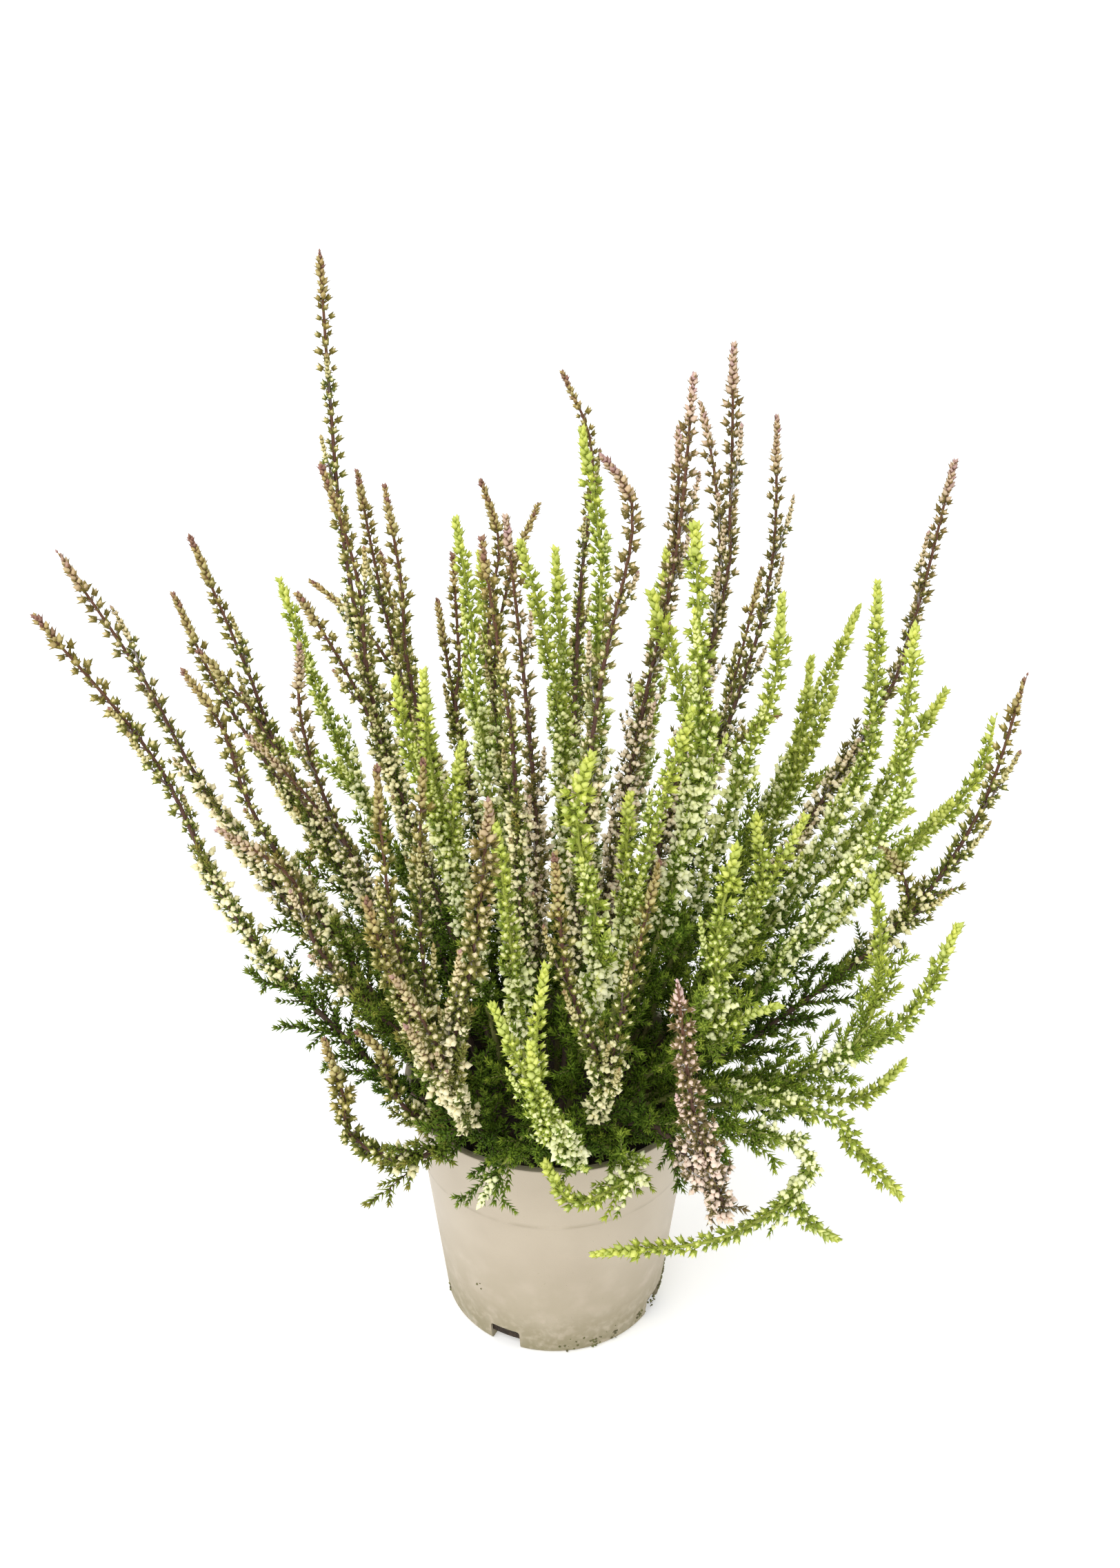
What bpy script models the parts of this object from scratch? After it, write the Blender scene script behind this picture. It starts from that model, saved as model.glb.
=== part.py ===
# Potted heather: two heathers of different colour grown together in one nursery pot.
# The pot, its peat and every leafy shoot is one closed solid. Metres, +Z up.
# The origin is the middle of the pot's sole, on the surface it stands on.

import math

import bmesh
import bpy
import numpy as np
from mathutils import Matrix, Vector

MM = 0.001

# pot
POT_HEIGHT = 108.5 * MM
RIM_RADIUS = 60.0 * MM
SOLE_RADIUS = 45.4 * MM
WALL = 1.3 * MM
FLOOR_TOP = 4.0 * MM
BAND_HEIGHT = 33.0 * MM
BAND_STEP = 1.2 * MM
LIP = 1.6 * MM
LIP_FACE = 0.6 * LIP
POT_SEGMENTS = 32
PAD_RADIUS = 20.0 * MM
FOOT_WIDTH = 7.5 * MM
RECESS = 2.5 * MM
NOTCHES = 4
NOTCH_WIDTH = 13.0 * MM
NOTCH_HEIGHT = 10.0 * MM
NOTCH_DEPTH = 1.6 * FOOT_WIDTH
FIRST_NOTCH = math.radians(-116)
SHARP_EDGE = math.radians(30)
SAME_POINT = 0.01 * MM

# peat
PEAT_TOP = 97.0 * MM
GAP = 0.3 * MM
HOLE_DEPTH = 9.0 * MM
PLANTED_RADIUS = 45.0 * MM

# shoots
STEM_RADIUS = 0.95 * MM
STEM_SIDES = 3
STEM_ROOM = 2.0 * MM
HOLE_RADIUS = STEM_RADIUS + 2 * GAP
UPRIGHT_FOOT = 2.0 * MM
BARE_FOOT = 12.0 * MM
BARE_ROOT = 5.0 * MM
LEAFY_BY = 40.0 * MM
TIP_REACH = 0.4
TIP_LENGTH = 45.0 * MM
SLIM_TIP = 0.1 * TIP_LENGTH
LOW_FULLNESS = 0.65
FULLER_FROM = (80 * MM, 150 * MM)
SIDE_FULLNESS = 0.9
SIDE_BEND = 0.45
FIRST_STEP = 8.0 * MM
STEP_GROWTH = 0.09
LAST_STEP = 18.0 * MM
TWIST = math.radians(41)
TUFT_LIFT = 0.3
TUFT_SIZES = (0.85, 1.12)
TUFTS_OVER = 2 * STEM_RADIUS
HOLE_PULL = 0.36
CURVE_STEPS = 24
STATIONS = 32
SIDE_STATIONS = 8
DRAW = np.random.default_rng(5)

# how stems that would touch are bent clear of each other
BEND_ROUNDS = 240
PAIRED_FOR = 12
PAIR_MARGIN = 8.0 * MM
PUSH = 0.3
RIM_ROOM = 5.0 * MM
INNER_ROOM = 7.0 * MM
EASY_WAY = np.array([0.6, 1.0, 0.4])
SMALLEST_GAP = 1e-6
SMALLEST_RADIUS = 1e-9

# finishes
PLANT_COLOUR = {"bronze": (0.19, 0.12, 0.06), "lime": (0.24, 0.34, 0.05)}
POT_COLOUR = (0.56, 0.49, 0.39)
PEAT_COLOUR = (0.025, 0.018, 0.012)
PLANT_ROUGHNESS = 0.6
POT_ROUGHNESS = 0.42
PEAT_ROUGHNESS = 0.95

# Each shoot has its plant, the reach of its tufts, the points that its stem passes on the
# way to its tip, and its side sprigs, each as the share of the way up and its own tip. All
# in millimetres. The first group fans out above the pot, from left to right.
SHOOTS = [
    ("bronze", 5.0, [(-107, -32, 197), (-134, -38, 271), (-165, -48, 329)], []),
    ("bronze", 5.5, [(-123, 10, 221), (-151, 22, 274), (-178, 28, 321)], []),
    ("bronze", 5.0, [(-99, 34, 218), (-118, 50, 264), (-137, 62, 313)], [(0.62, (-134, 42, 275))]),
    ("bronze", 5.0, [(-100, -22, 227), (-113, -26, 276), (-124, -30, 301)], []),
    ("bronze", 4.5, [(-76, -4, 215), (-90, 0, 263), (-88, -5, 299)], [(0.55, (-111, 5, 257))]),
    ("bronze", 5.5, [(-81, -40, 188), (-92, -40, 225), (-115, -45, 248)], []),
    ("bronze", 3.8, [(-62, 34, 240), (-76, 48, 313), (-80, 58, 369), (-81, 62, 419)], []),
    ("bronze", 4.5, [(-63, 8, 252), (-69, 12, 316), (-79, 12, 358)], [(0.5, (-88, -12, 321))]),
    ("bronze", 4.2, [(-60, 62, 259), (-69, 76, 296), (-75, 84, 331)], [(0.6, (-96, 88, 284))]),
    ("bronze", 4.5, [(-52, 28, 258), (-56, 38, 302), (-61, 42, 340)], []),
    ("bronze", 4.2, [(-38, 56, 227), (-38, 70, 255), (-40, 84, 297)], [(0.6, (-48, 92, 274))]),
    ("lime", 4.5, [(-28, 20, 262), (-30, 30, 290), (-35, 34, 330)], []),
    ("bronze", 4.5, [(-26, 74, 253), (-22, 92, 296), (-29, 100, 321)], [(0.6, (-7, 112, 307))]),
    ("bronze", 4.5, [(-11, -30, 257), (-16, -32, 303), (-22, -34, 350)], []),
    ("bronze", 4.5, [(-5, -22, 220), (-10, -14, 285), (-16, -10, 347)], []),
    ("lime", 4.8, [(5, 12, 240), (3, 22, 277), (1, 30, 320)], [(0.55, (-11, 10, 330))]),
    ("bronze", 3.6, [(8, 72, 230), (10, 88, 277), (15, 104, 330), (3, 110, 362)], []),
    ("lime", 5.2, [(14, 24, 220), (16, 34, 272), (17, 48, 313), (10, 56, 356)], []),
    ("bronze", 5.0, [(13, -34, 275), (25, -36, 350), (21, -36, 370), (15, -36, 377)], []),
    ("bronze", 4.8, [(27, -6, 250), (40, 0, 332), (44, 0, 392)], [(0.72, (40, 13, 370))]),
    ("bronze", 5.0, [(61, 42, 284), (65, 54, 326), (64, 60, 386)], [(0.6, (56, 92, 355))]),
    ("bronze", 4.5, [(73, 66, 239), (86, 86, 291), (86, 100, 347)], []),
    ("lime", 6.0, [(51, -24, 244), (50, -28, 301), (46, -30, 353)], [(0.5, (35, 0, 316))]),
    ("lime", 5.2, [(66, -8, 245), (77, -6, 282), (78, -6, 317)], []),
    ("lime", 5.2, [(89, 56, 187), (99, 68, 221), (103, 78, 255)], [(0.6, (112, 62, 248))]),
    ("lime", 5.2, [(112, 22, 221), (120, 30, 257), (118, 34, 306)], []),
    ("lime", 5.2, [(115, -22, 230), (121, -22, 268), (121, -24, 314)], []),
    ("bronze", 5.0, [(122, 44, 240), (138, 58, 280), (150, 72, 339)], []),
    ("bronze", 5.5, [(120, -10, 175), (155, 0, 224), (171, 12, 280)], [(0.5, (116, -15, 224))]),
    ("lime", 5.2, [(122, 24, 180), (162, 36, 220), (171, 46, 247)], [(0.5, (147, 6, 229))]),
    ("lime", 5.2, [(102, -45, 150), (130, -40, 166), (145, -35, 202)], [(0.5, (111, -30, 220))]),
    # low shoots that lean out over the rim, from right to left
    ("lime", 4.8, [(58, -26, 122), (106, -42, 125), (119, -42, 130), (129, -42, 144)], []),
    ("lime", 4.8, [(60, -36, 124), (103, -58, 130), (111, -60, 119), (131, -58, 94)], []),
    (
        "lime",
        5.0,
        [(60, -48, 126), (90, -54, 121), (86, -64, 106), (58, -80, 97), (14, -92, 100)],
        [(0.55, (105, -62, 83))],
    ),
    (
        "bronze",
        5.8,
        [(40, -58, 122), (60, -88, 114), (54, -96, 140), (46, -108, 178), (38, -122, 240)],
        [],
    ),
    ("lime", 5.0, [(35, -62, 120), (25, -74, 118), (9, -82, 117), (-2, -84, 136)], []),
    (
        "bronze",
        6.0,
        [(-49, -62, 114), (-73, -62, 126), (-76, -60, 146), (-82, -58, 169)],
        [],
    ),
    ("bronze", 5.5, [(-45, -52, 119), (-58, -50, 136), (-62, -48, 153), (-71, -45, 161)], []),
    # the front of the bush
    ("lime", 5.8, [(56, -50, 164), (57, -55, 209), (62, -55, 247)], [(0.4, (81, -60, 181))]),
    ("lime", 6.5, [(16, -60, 202), (8, -65, 262), (13, -65, 288)], []),
    ("lime", 4.8, [(25, -33, 200), (25, -35, 228), (26, -38, 258)], [(0.6, (45, -40, 292))]),
    ("lime", 5.0, [(72, -20, 199), (72, -20, 239)], [(0.5, (89, -20, 240))]),
    (
        "bronze",
        5.8,
        [(-37, -65, 148), (-52, -75, 200), (-61, -75, 238)],
        [(0.35, (-57, -55, 269)), (0.3, (-43, -40, 263))],
    ),
    (
        "bronze",
        6.2,
        [(-35, -75, 163), (-25, -90, 238), (-20, -90, 285)],
        [(0.42, (-52, -90, 222)), (0.34, (-48, -92, 204))],
    ),
    (
        "lime",
        5.0,
        [(9, -82, 138), (-3, -100, 166), (-7, -105, 203)],
        [(0.5, (-18, -95, 212)), (0.6, (-1, -90, 223))],
    ),
    ("bronze", 5.0, [(15, -70, 162), (4, -75, 209), (0, -75, 257)], [(0.4, (34, -40, 236))]),
    (
        "lime",
        5.0,
        [(-40, -20, 230), (-50, -18, 261), (-55, -15, 290)],
        [(0.6, (-44, -25, 298)), (0.5, (-31, -25, 271))],
    ),
    ("lime", 5.0, [(-13, -62, 205), (-19, -60, 259)], [(0.12, (-30, -79, 123))]),
    # the back, which the photograph doesn't show
    ("bronze", 5.2, [(-95, 48, 190), (-130, 66, 240), (-150, 80, 282)], [(0.5, (-128, 92, 232))]),
    ("lime", 5.2, [(-78, 76, 190), (-100, 100, 236), (-114, 118, 272)], [(0.5, (-130, 100, 205))]),
    ("bronze", 5.2, [(-48, 84, 190), (-64, 118, 240), (-74, 138, 276)], [(0.5, (-84, 140, 214))]),
    ("lime", 5.2, [(-20, 92, 186), (-28, 126, 232), (-32, 146, 272)], [(0.5, (-44, 150, 206))]),
    ("bronze", 5.2, [(6, 98, 186), (10, 132, 230), (12, 152, 262)], [(0.5, (24, 140, 250))]),
    ("lime", 5.2, [(36, 92, 186), (44, 124, 236), (48, 142, 276)], [(0.5, (38, 152, 208))]),
    ("bronze", 5.2, [(60, 84, 186), (78, 116, 236), (88, 136, 270)], [(0.5, (98, 124, 206))]),
    ("lime", 5.2, [(84, 74, 180), (110, 98, 226), (126, 112, 262)], [(0.5, (128, 84, 200))]),
    ("lime", 5.2, [(110, 48, 172), (138, 66, 210), (158, 78, 240)], [(0.5, (150, 80, 182))]),
    ("bronze", 5.2, [(-96, 62, 140), (-128, 78, 156), (-146, 86, 186)], [(0.5, (-104, 98, 160))]),
]


def clear_scene():
    for item in list(bpy.data.objects):
        bpy.data.objects.remove(item, do_unlink=True)


def plain_material(name, colour, roughness):
    material = bpy.data.materials.new(name)
    material.use_nodes = True
    shader = material.node_tree.nodes["Principled BSDF"]
    shader.inputs["Base Color"].default_value = (*colour, 1.0)
    shader.inputs["Roughness"].default_value = roughness
    shader.inputs["Metallic"].default_value = 0.0
    return material


def add_object(name, bm, material=None):
    bmesh.ops.recalc_face_normals(bm, faces=bm.faces)
    mesh = bpy.data.meshes.new(name)
    bm.to_mesh(mesh)
    bm.free()
    item = bpy.data.objects.new(name, mesh)
    bpy.context.scene.collection.objects.link(item)
    if material:
        mesh.materials.append(material)
    return item


def hide_tool(item):
    item.hide_render = True
    item.display_type = "WIRE"


def wall_radius(height):
    """The outer radius of the pot's tapered wall, below its rim band."""
    taper = (RIM_RADIUS - LIP - BAND_STEP - SOLE_RADIUS) / POT_HEIGHT
    return SOLE_RADIUS + taper * height


def make_pot():
    """One turned shell: sole with pad and foot ring, tapered wall, rim band and lip."""
    band_foot = POT_HEIGHT - BAND_HEIGHT
    band_top = POT_HEIGHT - LIP
    foot_inner = SOLE_RADIUS - FOOT_WIDTH
    profile = [
        (0.0, 0.0),
        (PAD_RADIUS, 0.0),
        (PAD_RADIUS + MM, RECESS),
        (foot_inner - MM, RECESS),
        (foot_inner, 0.0),
        (SOLE_RADIUS, 0.0),
        (wall_radius(band_foot - BAND_STEP), band_foot - BAND_STEP),
        (wall_radius(band_foot) + BAND_STEP, band_foot),
        (wall_radius(band_top) + BAND_STEP, band_top),
        (RIM_RADIUS, POT_HEIGHT - LIP_FACE),
        (RIM_RADIUS, POT_HEIGHT),
        (wall_radius(POT_HEIGHT) + BAND_STEP - WALL, POT_HEIGHT),
        (wall_radius(FLOOR_TOP) - WALL, FLOOR_TOP),
        (0.0, FLOOR_TOP),
    ]
    bm = bmesh.new()
    verts = [bm.verts.new((radius, 0.0, height)) for radius, height in profile]
    edges = [bm.edges.new(pair) for pair in zip(verts, verts[1:])]
    bmesh.ops.spin(
        bm,
        geom=verts + edges,
        axis=(0, 0, 1),
        cent=(0, 0, 0),
        angle=math.tau,
        steps=POT_SEGMENTS,
        use_merge=True,
    )
    bmesh.ops.remove_doubles(bm, verts=bm.verts, dist=SAME_POINT)
    pot = add_object("pot", bm, plain_material("pot", POT_COLOUR, POT_ROUGHNESS))
    pot.data.shade_smooth()
    pot.data.set_sharp_from_angle(angle=SHARP_EDGE)
    cut = pot.modifiers.new("drain_notches", "BOOLEAN")
    cut.operation = "DIFFERENCE"
    cut.object = notch_cutter()
    return pot


def notch_cutter():
    """Blocks that cut the drain notches through the foot ring, up into the wall's foot."""
    bm = bmesh.new()
    for number in range(NOTCHES):
        turn = Matrix.Rotation(FIRST_NOTCH + number * math.tau / NOTCHES, 4, "Z")
        place = Matrix.Translation((SOLE_RADIUS, 0, 0))
        size = Matrix.Diagonal((NOTCH_DEPTH, NOTCH_WIDTH, 2 * NOTCH_HEIGHT, 1))
        bmesh.ops.create_cube(bm, size=1.0, matrix=turn @ place @ size)
    cutter = add_object("notch_cutter", bm)
    hide_tool(cutter)
    return cutter


def make_peat(holes):
    """The root ball: peat that fills the pot, with a blind hole for the foot of each shoot."""
    bottom = FLOOR_TOP + GAP
    top_radius = inner_radius(PEAT_TOP) - GAP
    bottom_radius = inner_radius(bottom) - GAP
    bm = bmesh.new()
    bmesh.ops.create_cone(
        bm,
        cap_ends=True,
        segments=POT_SEGMENTS,
        radius1=bottom_radius,
        radius2=top_radius,
        depth=PEAT_TOP - bottom,
        matrix=Matrix.Translation((0, 0, (PEAT_TOP + bottom) / 2)),
    )
    peat = add_object("peat", bm, plain_material("peat", PEAT_COLOUR, PEAT_ROUGHNESS))
    cut = peat.modifiers.new("stem_holes", "BOOLEAN")
    cut.operation = "DIFFERENCE"
    cut.object = hole_cutter(holes)
    return peat


def inner_radius(height):
    """The radius of the pot's inner wall, a straight cone from its floor to its rim."""
    at_rim = wall_radius(POT_HEIGHT) + BAND_STEP - WALL
    at_floor = wall_radius(FLOOR_TOP) - WALL
    share = (height - FLOOR_TOP) / (POT_HEIGHT - FLOOR_TOP)
    return at_floor + share * (at_rim - at_floor)


def hole_cutter(holes):
    """Three-sided prisms, a little wider all round than the three-sided stems."""
    bm = bmesh.new()
    for x, y in holes:
        middle = Matrix.Translation((x, y, PEAT_TOP))
        bmesh.ops.create_cone(
            bm,
            cap_ends=True,
            segments=STEM_SIDES,
            radius1=HOLE_RADIUS,
            radius2=HOLE_RADIUS,
            depth=2 * (HOLE_DEPTH + GAP),
            matrix=middle,
        )
    cutter = add_object("hole_cutter", bm)
    hide_tool(cutter)
    return cutter


def smooth_route(points, count):
    """Points at even steps along a smooth curve through the given points."""
    given = np.array(points, dtype=float)
    ends = np.vstack([2 * given[0] - given[1], given, 2 * given[-1] - given[-2]])
    fine = []
    for first, start, stop, last in zip(ends, ends[1:], ends[2:], ends[3:]):
        for share in np.linspace(0, 1, CURVE_STEPS, endpoint=False):
            slope_in = (stop - first) / 2
            slope_out = (last - start) / 2
            turn = share * share * (3 - 2 * share)
            bow_in = share * (1 - share) ** 2
            bow_out = share * share * (share - 1)
            fine.append(start + turn * (stop - start) + bow_in * slope_in + bow_out * slope_out)
    fine.append(given[-1])
    return even_steps(np.array(fine), count)


def even_steps(points, count):
    length = along(points)
    wanted = np.linspace(0, length[-1], count)
    return np.stack([np.interp(wanted, length, points[:, axis]) for axis in range(3)], axis=1)


def along(points):
    """How far each point lies from the first one, measured along the route."""
    steps = np.sqrt(((points[1:] - points[:-1]) ** 2).sum(axis=1))
    return np.concatenate([[0.0], np.cumsum(steps)])


def main_route(points):
    """From the hole in the peat to the tip. The hole lies below the shoot's lower stretch."""
    lowest = np.array(points[0][:2]) * MM * HOLE_PULL
    out = math.hypot(*lowest)
    if out > PLANTED_RADIUS:
        lowest = lowest * PLANTED_RADIUS / out
    foot = (*lowest, PEAT_TOP)
    return smooth_route([foot] + [tuple(value * MM for value in point) for point in points], STATIONS)


def side_route(main, share, tip):
    """A side sprig leaves along the stem that bears it, then bends out to its own tip."""
    root = round(share * (STATIONS - 1))
    start = main[root]
    end = np.array(tip) * MM
    heading = main[root + 1] - main[root - 1]
    heading = heading / math.sqrt((heading**2).sum())
    reach = math.sqrt(((end - start) ** 2).sum())
    bend = start + heading * SIDE_BEND * reach
    share = np.linspace(0, 1, CURVE_STEPS)[:, None]
    curve = (1 - share) ** 2 * start + 2 * share * (1 - share) * bend + share**2 * end
    return root, even_steps(curve, SIDE_STATIONS)


def ramp(value, start, stop):
    share = np.clip((value - start) / (stop - start), 0.0, 1.0)
    return share * share * (3 - 2 * share)


def tuft_reach(leafy, from_foot, from_tip):
    """How far the tufts stand out: none at the bare foot, most low down, least at the tip."""
    foot = ramp(from_foot, BARE_FOOT, LEAFY_BY)
    tip = TIP_REACH + (1 - TIP_REACH) * ramp(from_tip, SLIM_TIP, TIP_LENGTH)
    low = 1 + LOW_FULLNESS * ramp(from_tip, *FULLER_FROM)
    return leafy * MM * foot * tip * low


def bend_clear(mains, sides, reaches):
    """Bends each stem clear of the others' tufts, mostly in depth, and of the pot's rim.

    A side sprig goes where the point that bears it goes. The shifts are evened out along
    each stem, so that it stays a smooth curve.
    """
    places, owners, shoots, needs = [], [], [], []
    for number, main in enumerate(mains):
        places.append(main)
        owners.append(np.arange(STATIONS) + number * STATIONS)
        shoots.append(np.full(STATIONS, number))
        needs.append(reaches[number][0])
        for (root, side), need in zip(sides[number], reaches[number][1:]):
            places.append(side)
            owners.append(np.full(SIDE_STATIONS, number * STATIONS + root))
            shoots.append(np.full(SIDE_STATIONS, number))
            needs.append(need)
    places, owners = np.concatenate(places), np.concatenate(owners)
    shoots, needs = np.concatenate(shoots), np.maximum(np.concatenate(needs), STEM_ROOM) + STEM_RADIUS
    shift = np.zeros((len(mains) * STATIONS, 3))
    for attempt in range(BEND_ROUNDS):
        if attempt % PAIRED_FOR == 0:
            first, second = near_pairs(places + shift[owners], shoots, needs)
        now = places + shift[owners]
        push = np.zeros_like(shift)
        apart = now[first] - now[second]
        gap = np.sqrt((apart**2).sum(axis=1)) + SMALLEST_GAP
        short = np.maximum(needs[first] + needs[second] + 2 * GAP - gap, 0)
        step = PUSH * short[:, None] * apart / gap[:, None] * EASY_WAY
        np.add.at(push, owners[first], step)
        np.add.at(push, owners[second], -step)
        np.add.at(push, owners, PUSH * clear_of_pot(now, needs))
        shift = evened(shift + push)
    return shift.reshape(len(mains), STATIONS, 3)


def near_pairs(places, shoots, needs):
    """The pairs of points on different shoots that lie near enough to touch soon."""
    apart = ((places[:, None] - places[None]) ** 2).sum(axis=2)
    close = needs[:, None] + needs[None] + PAIR_MARGIN
    found = (apart < close**2) & (shoots[:, None] < shoots[None])
    return np.nonzero(found)


def clear_of_pot(places, needs):
    """The push that keeps tufts off the rim, inside the wall below it and off the ground."""
    out = np.hypot(places[:, 0], places[:, 1]) + SMALLEST_RADIUS
    outward = places[:, :2] / out[:, None]
    rim_out = out - RIM_RADIUS + LIP
    rim_up = places[:, 2] - POT_HEIGHT
    rim_gap = np.hypot(rim_out, rim_up) + SMALLEST_RADIUS
    short = np.maximum(needs + RIM_ROOM - rim_gap, 0)
    push = np.zeros_like(places)
    push[:, :2] += outward * (short * rim_out / rim_gap)[:, None]
    push[:, 2] += short * np.abs(rim_up) / rim_gap
    low = places[:, 2] < POT_HEIGHT
    inside = low & (out < RIM_RADIUS - LIP)
    outside = low & ~inside
    too_far_out = inside * np.maximum(out + needs - PLANTED_RADIUS - INNER_ROOM, 0)
    too_far_in = outside * np.maximum(RIM_RADIUS + MM + needs - out, 0)
    push[:, :2] -= outward * too_far_out[:, None]
    push[:, :2] += outward * too_far_in[:, None]
    return push


def evened(shift):
    """Each stem's shifts, evened out along it. Its foot stays on the peat."""
    rows = shift.reshape(-1, STATIONS, 3)
    padded = np.concatenate([rows[:, :1], rows, rows[:, -1:]], axis=1)
    rows = 0.5 * rows + 0.25 * (padded[:, :-2] + padded[:, 2:])
    rows[:, 0, 2] = 0
    return rows.reshape(-1, 3)


def ring_marks(total, bare):
    """How far up a sprig its rings lie: close together near the tip, wider apart low down."""
    marks = [FIRST_STEP]
    while marks[-1] < total - bare:
        marks.append(marks[-1] + min(FIRST_STEP + STEP_GROWTH * marks[-1], LAST_STEP))
    return [total - mark for mark in reversed(marks[:-1])]


def ring_places(route, planted):
    """Ring centres and headings from the foot up, and how many bands have no tufts."""
    length = along(route)
    marks = ring_marks(length[-1], BARE_FOOT if planted else BARE_ROOT)
    places = [Vector(np.array([np.interp(mark, length, axis) for axis in route.T])) for mark in marks]
    start = Vector(route[0])
    if planted:
        up = Vector((0, 0, 1))
        rings = [(start - up * HOLE_DEPTH, up), (start + up * UPRIGHT_FOOT, up)]
    else:
        rings = [(start, (places[0] - start).normalized())]
    bare_bands = len(rings) - 1
    after = places[1:] + [Vector(route[-1])]
    before = [rings[-1][0]] + places[:-1]
    for place, last, following in zip(places, before, after):
        rings.append((place, (following - last).normalized()))
    return rings, bare_bands, [0.0] * len(rings[: bare_bands + 1]) + marks


def leafy_sprig(route, reach, planted):
    """A slim three-sided stem whose faces are raised into tufts of leaves and buds."""
    rings, bare_bands, marks = ring_places(route, planted)
    length = along(route)
    bm = bmesh.new()
    centre, heading = rings[0]
    frame = Vector((0, 0, 1)).rotation_difference(heading)
    seat = ring_matrix(centre, frame, 0)
    bmesh.ops.create_circle(bm, cap_ends=True, segments=STEM_SIDES, radius=STEM_RADIUS, matrix=seat)
    rim = list(bm.edges)
    for number in range(1, len(rings)):
        below, last_heading = rings[number - 1]
        centre, heading = rings[number]
        frame = last_heading.rotation_difference(heading) @ frame
        turns = max(number - bare_bands, 0)
        next_seat = ring_matrix(centre, frame, turns)
        made = bmesh.ops.extrude_edge_only(bm, edges=rim)["geom"]
        verts = [item for item in made if isinstance(item, bmesh.types.BMVert)]
        band = [item for item in made if isinstance(item, bmesh.types.BMFace)]
        bmesh.ops.transform(bm, matrix=next_seat @ seat.inverted(), verts=verts)
        rim = [edge for edge in made if is_rim(edge, verts)]
        middle = (marks[number - 1] + marks[number]) / 2
        stands_out = float(np.interp(middle, length, reach))
        if number > bare_bands and stands_out > TUFTS_OVER:
            raise_tufts(bm, band, below, centre, stands_out)
        seat = next_seat
    made = bmesh.ops.extrude_edge_only(bm, edges=rim)["geom"]
    verts = [item for item in made if isinstance(item, bmesh.types.BMVert)]
    bmesh.ops.pointmerge(bm, verts=verts, merge_co=Vector(route[-1]))
    return bm


def ring_matrix(centre, frame, turns):
    turn = Matrix.Rotation(turns * TWIST, 4, "Z")
    return Matrix.Translation(centre) @ frame.to_matrix().to_4x4() @ turn


def is_rim(item, verts):
    return isinstance(item, bmesh.types.BMEdge) and all(vert in verts for vert in item.verts)


def raise_tufts(bm, band, below, above, stands_out):
    """Each face of the band becomes one pointed tuft that leans up along the stem."""
    heading = (above - below).normalized()
    middle = (above + below) / 2
    for point in bmesh.ops.poke(bm, faces=band)["verts"]:
        out = point.co - middle
        out = (out - heading * out.dot(heading)).normalized()
        size = stands_out * DRAW.uniform(*TUFT_SIZES)
        point.co = middle + out * size + heading * TUFT_LIFT * (above - below).length


def make_shoot(name, plant, main, sides, reaches):
    """The main stem and its side sprigs, joined in one solid where they fork."""
    material = plain_material(name, PLANT_COLOUR[plant], PLANT_ROUGHNESS)
    shoot = add_object(name, leafy_sprig(main, reaches[0], True), material)
    if not sides:
        return shoot
    forks = bpy.data.collections.new(name + "_forks")
    for (root, side), reach in zip(sides, reaches[1:]):
        sprig = add_object(name + "_side", leafy_sprig(side, reach, False))
        forks.objects.link(sprig)
    join = shoot.modifiers.new("forks", "BOOLEAN")
    join.operation = "UNION"
    join.operand_type = "COLLECTION"
    join.collection = forks
    shaped = shoot.evaluated_get(bpy.context.evaluated_depsgraph_get())
    joined = bpy.data.meshes.new_from_object(shaped)
    shoot.modifiers.clear()
    shoot.data = joined
    for sprig in list(forks.objects):
        bpy.data.objects.remove(sprig, do_unlink=True)
    bpy.data.collections.remove(forks)
    return shoot


def settled_shoots():
    """The route of every stem and side sprig, bent clear, with how far its tufts stand out."""
    mains, sides, reaches = [], [], []
    for plant, leafy, points, tips in SHOOTS:
        main = main_route(points)
        forks = [side_route(main, share, tip) for share, tip in tips]
        length = along(main)
        reach = [tuft_reach(leafy, length, length[-1] - length)]
        for root, side in forks:
            length = along(side)
            bare = BARE_FOOT + length
            reach.append(tuft_reach(SIDE_FULLNESS * leafy, bare, length[-1] - length))
        mains.append(main)
        sides.append(forks)
        reaches.append(reach)
    shifts = bend_clear(mains, sides, reaches)
    mains = [main + shift for main, shift in zip(mains, shifts)]
    moved = []
    for forks, shift in zip(sides, shifts):
        moved.append([(root, side + shift[root]) for root, side in forks])
    return mains, moved, reaches


def build():
    clear_scene()
    mains, sides, reaches = settled_shoots()
    make_pot()
    make_peat([main[0][:2] for main in mains])
    counts = {"bronze": 0, "lime": 0}
    for (plant, *_), main, forks, reach in zip(SHOOTS, mains, sides, reaches):
        counts[plant] += 1
        make_shoot(f"{plant}_shoot_{counts[plant]:02d}", plant, main, forks, reach)


build()
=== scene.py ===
# The looks of a potted heather: two heathers, one bronze and one lime, in one nursery pot.
# Metres, +Z up, in the frame's own place. The sections follow the plant as it is potted up.

import math
import random

import bmesh
import bpy
import numpy as np
from mathutils import Matrix, Vector, noise


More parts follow.
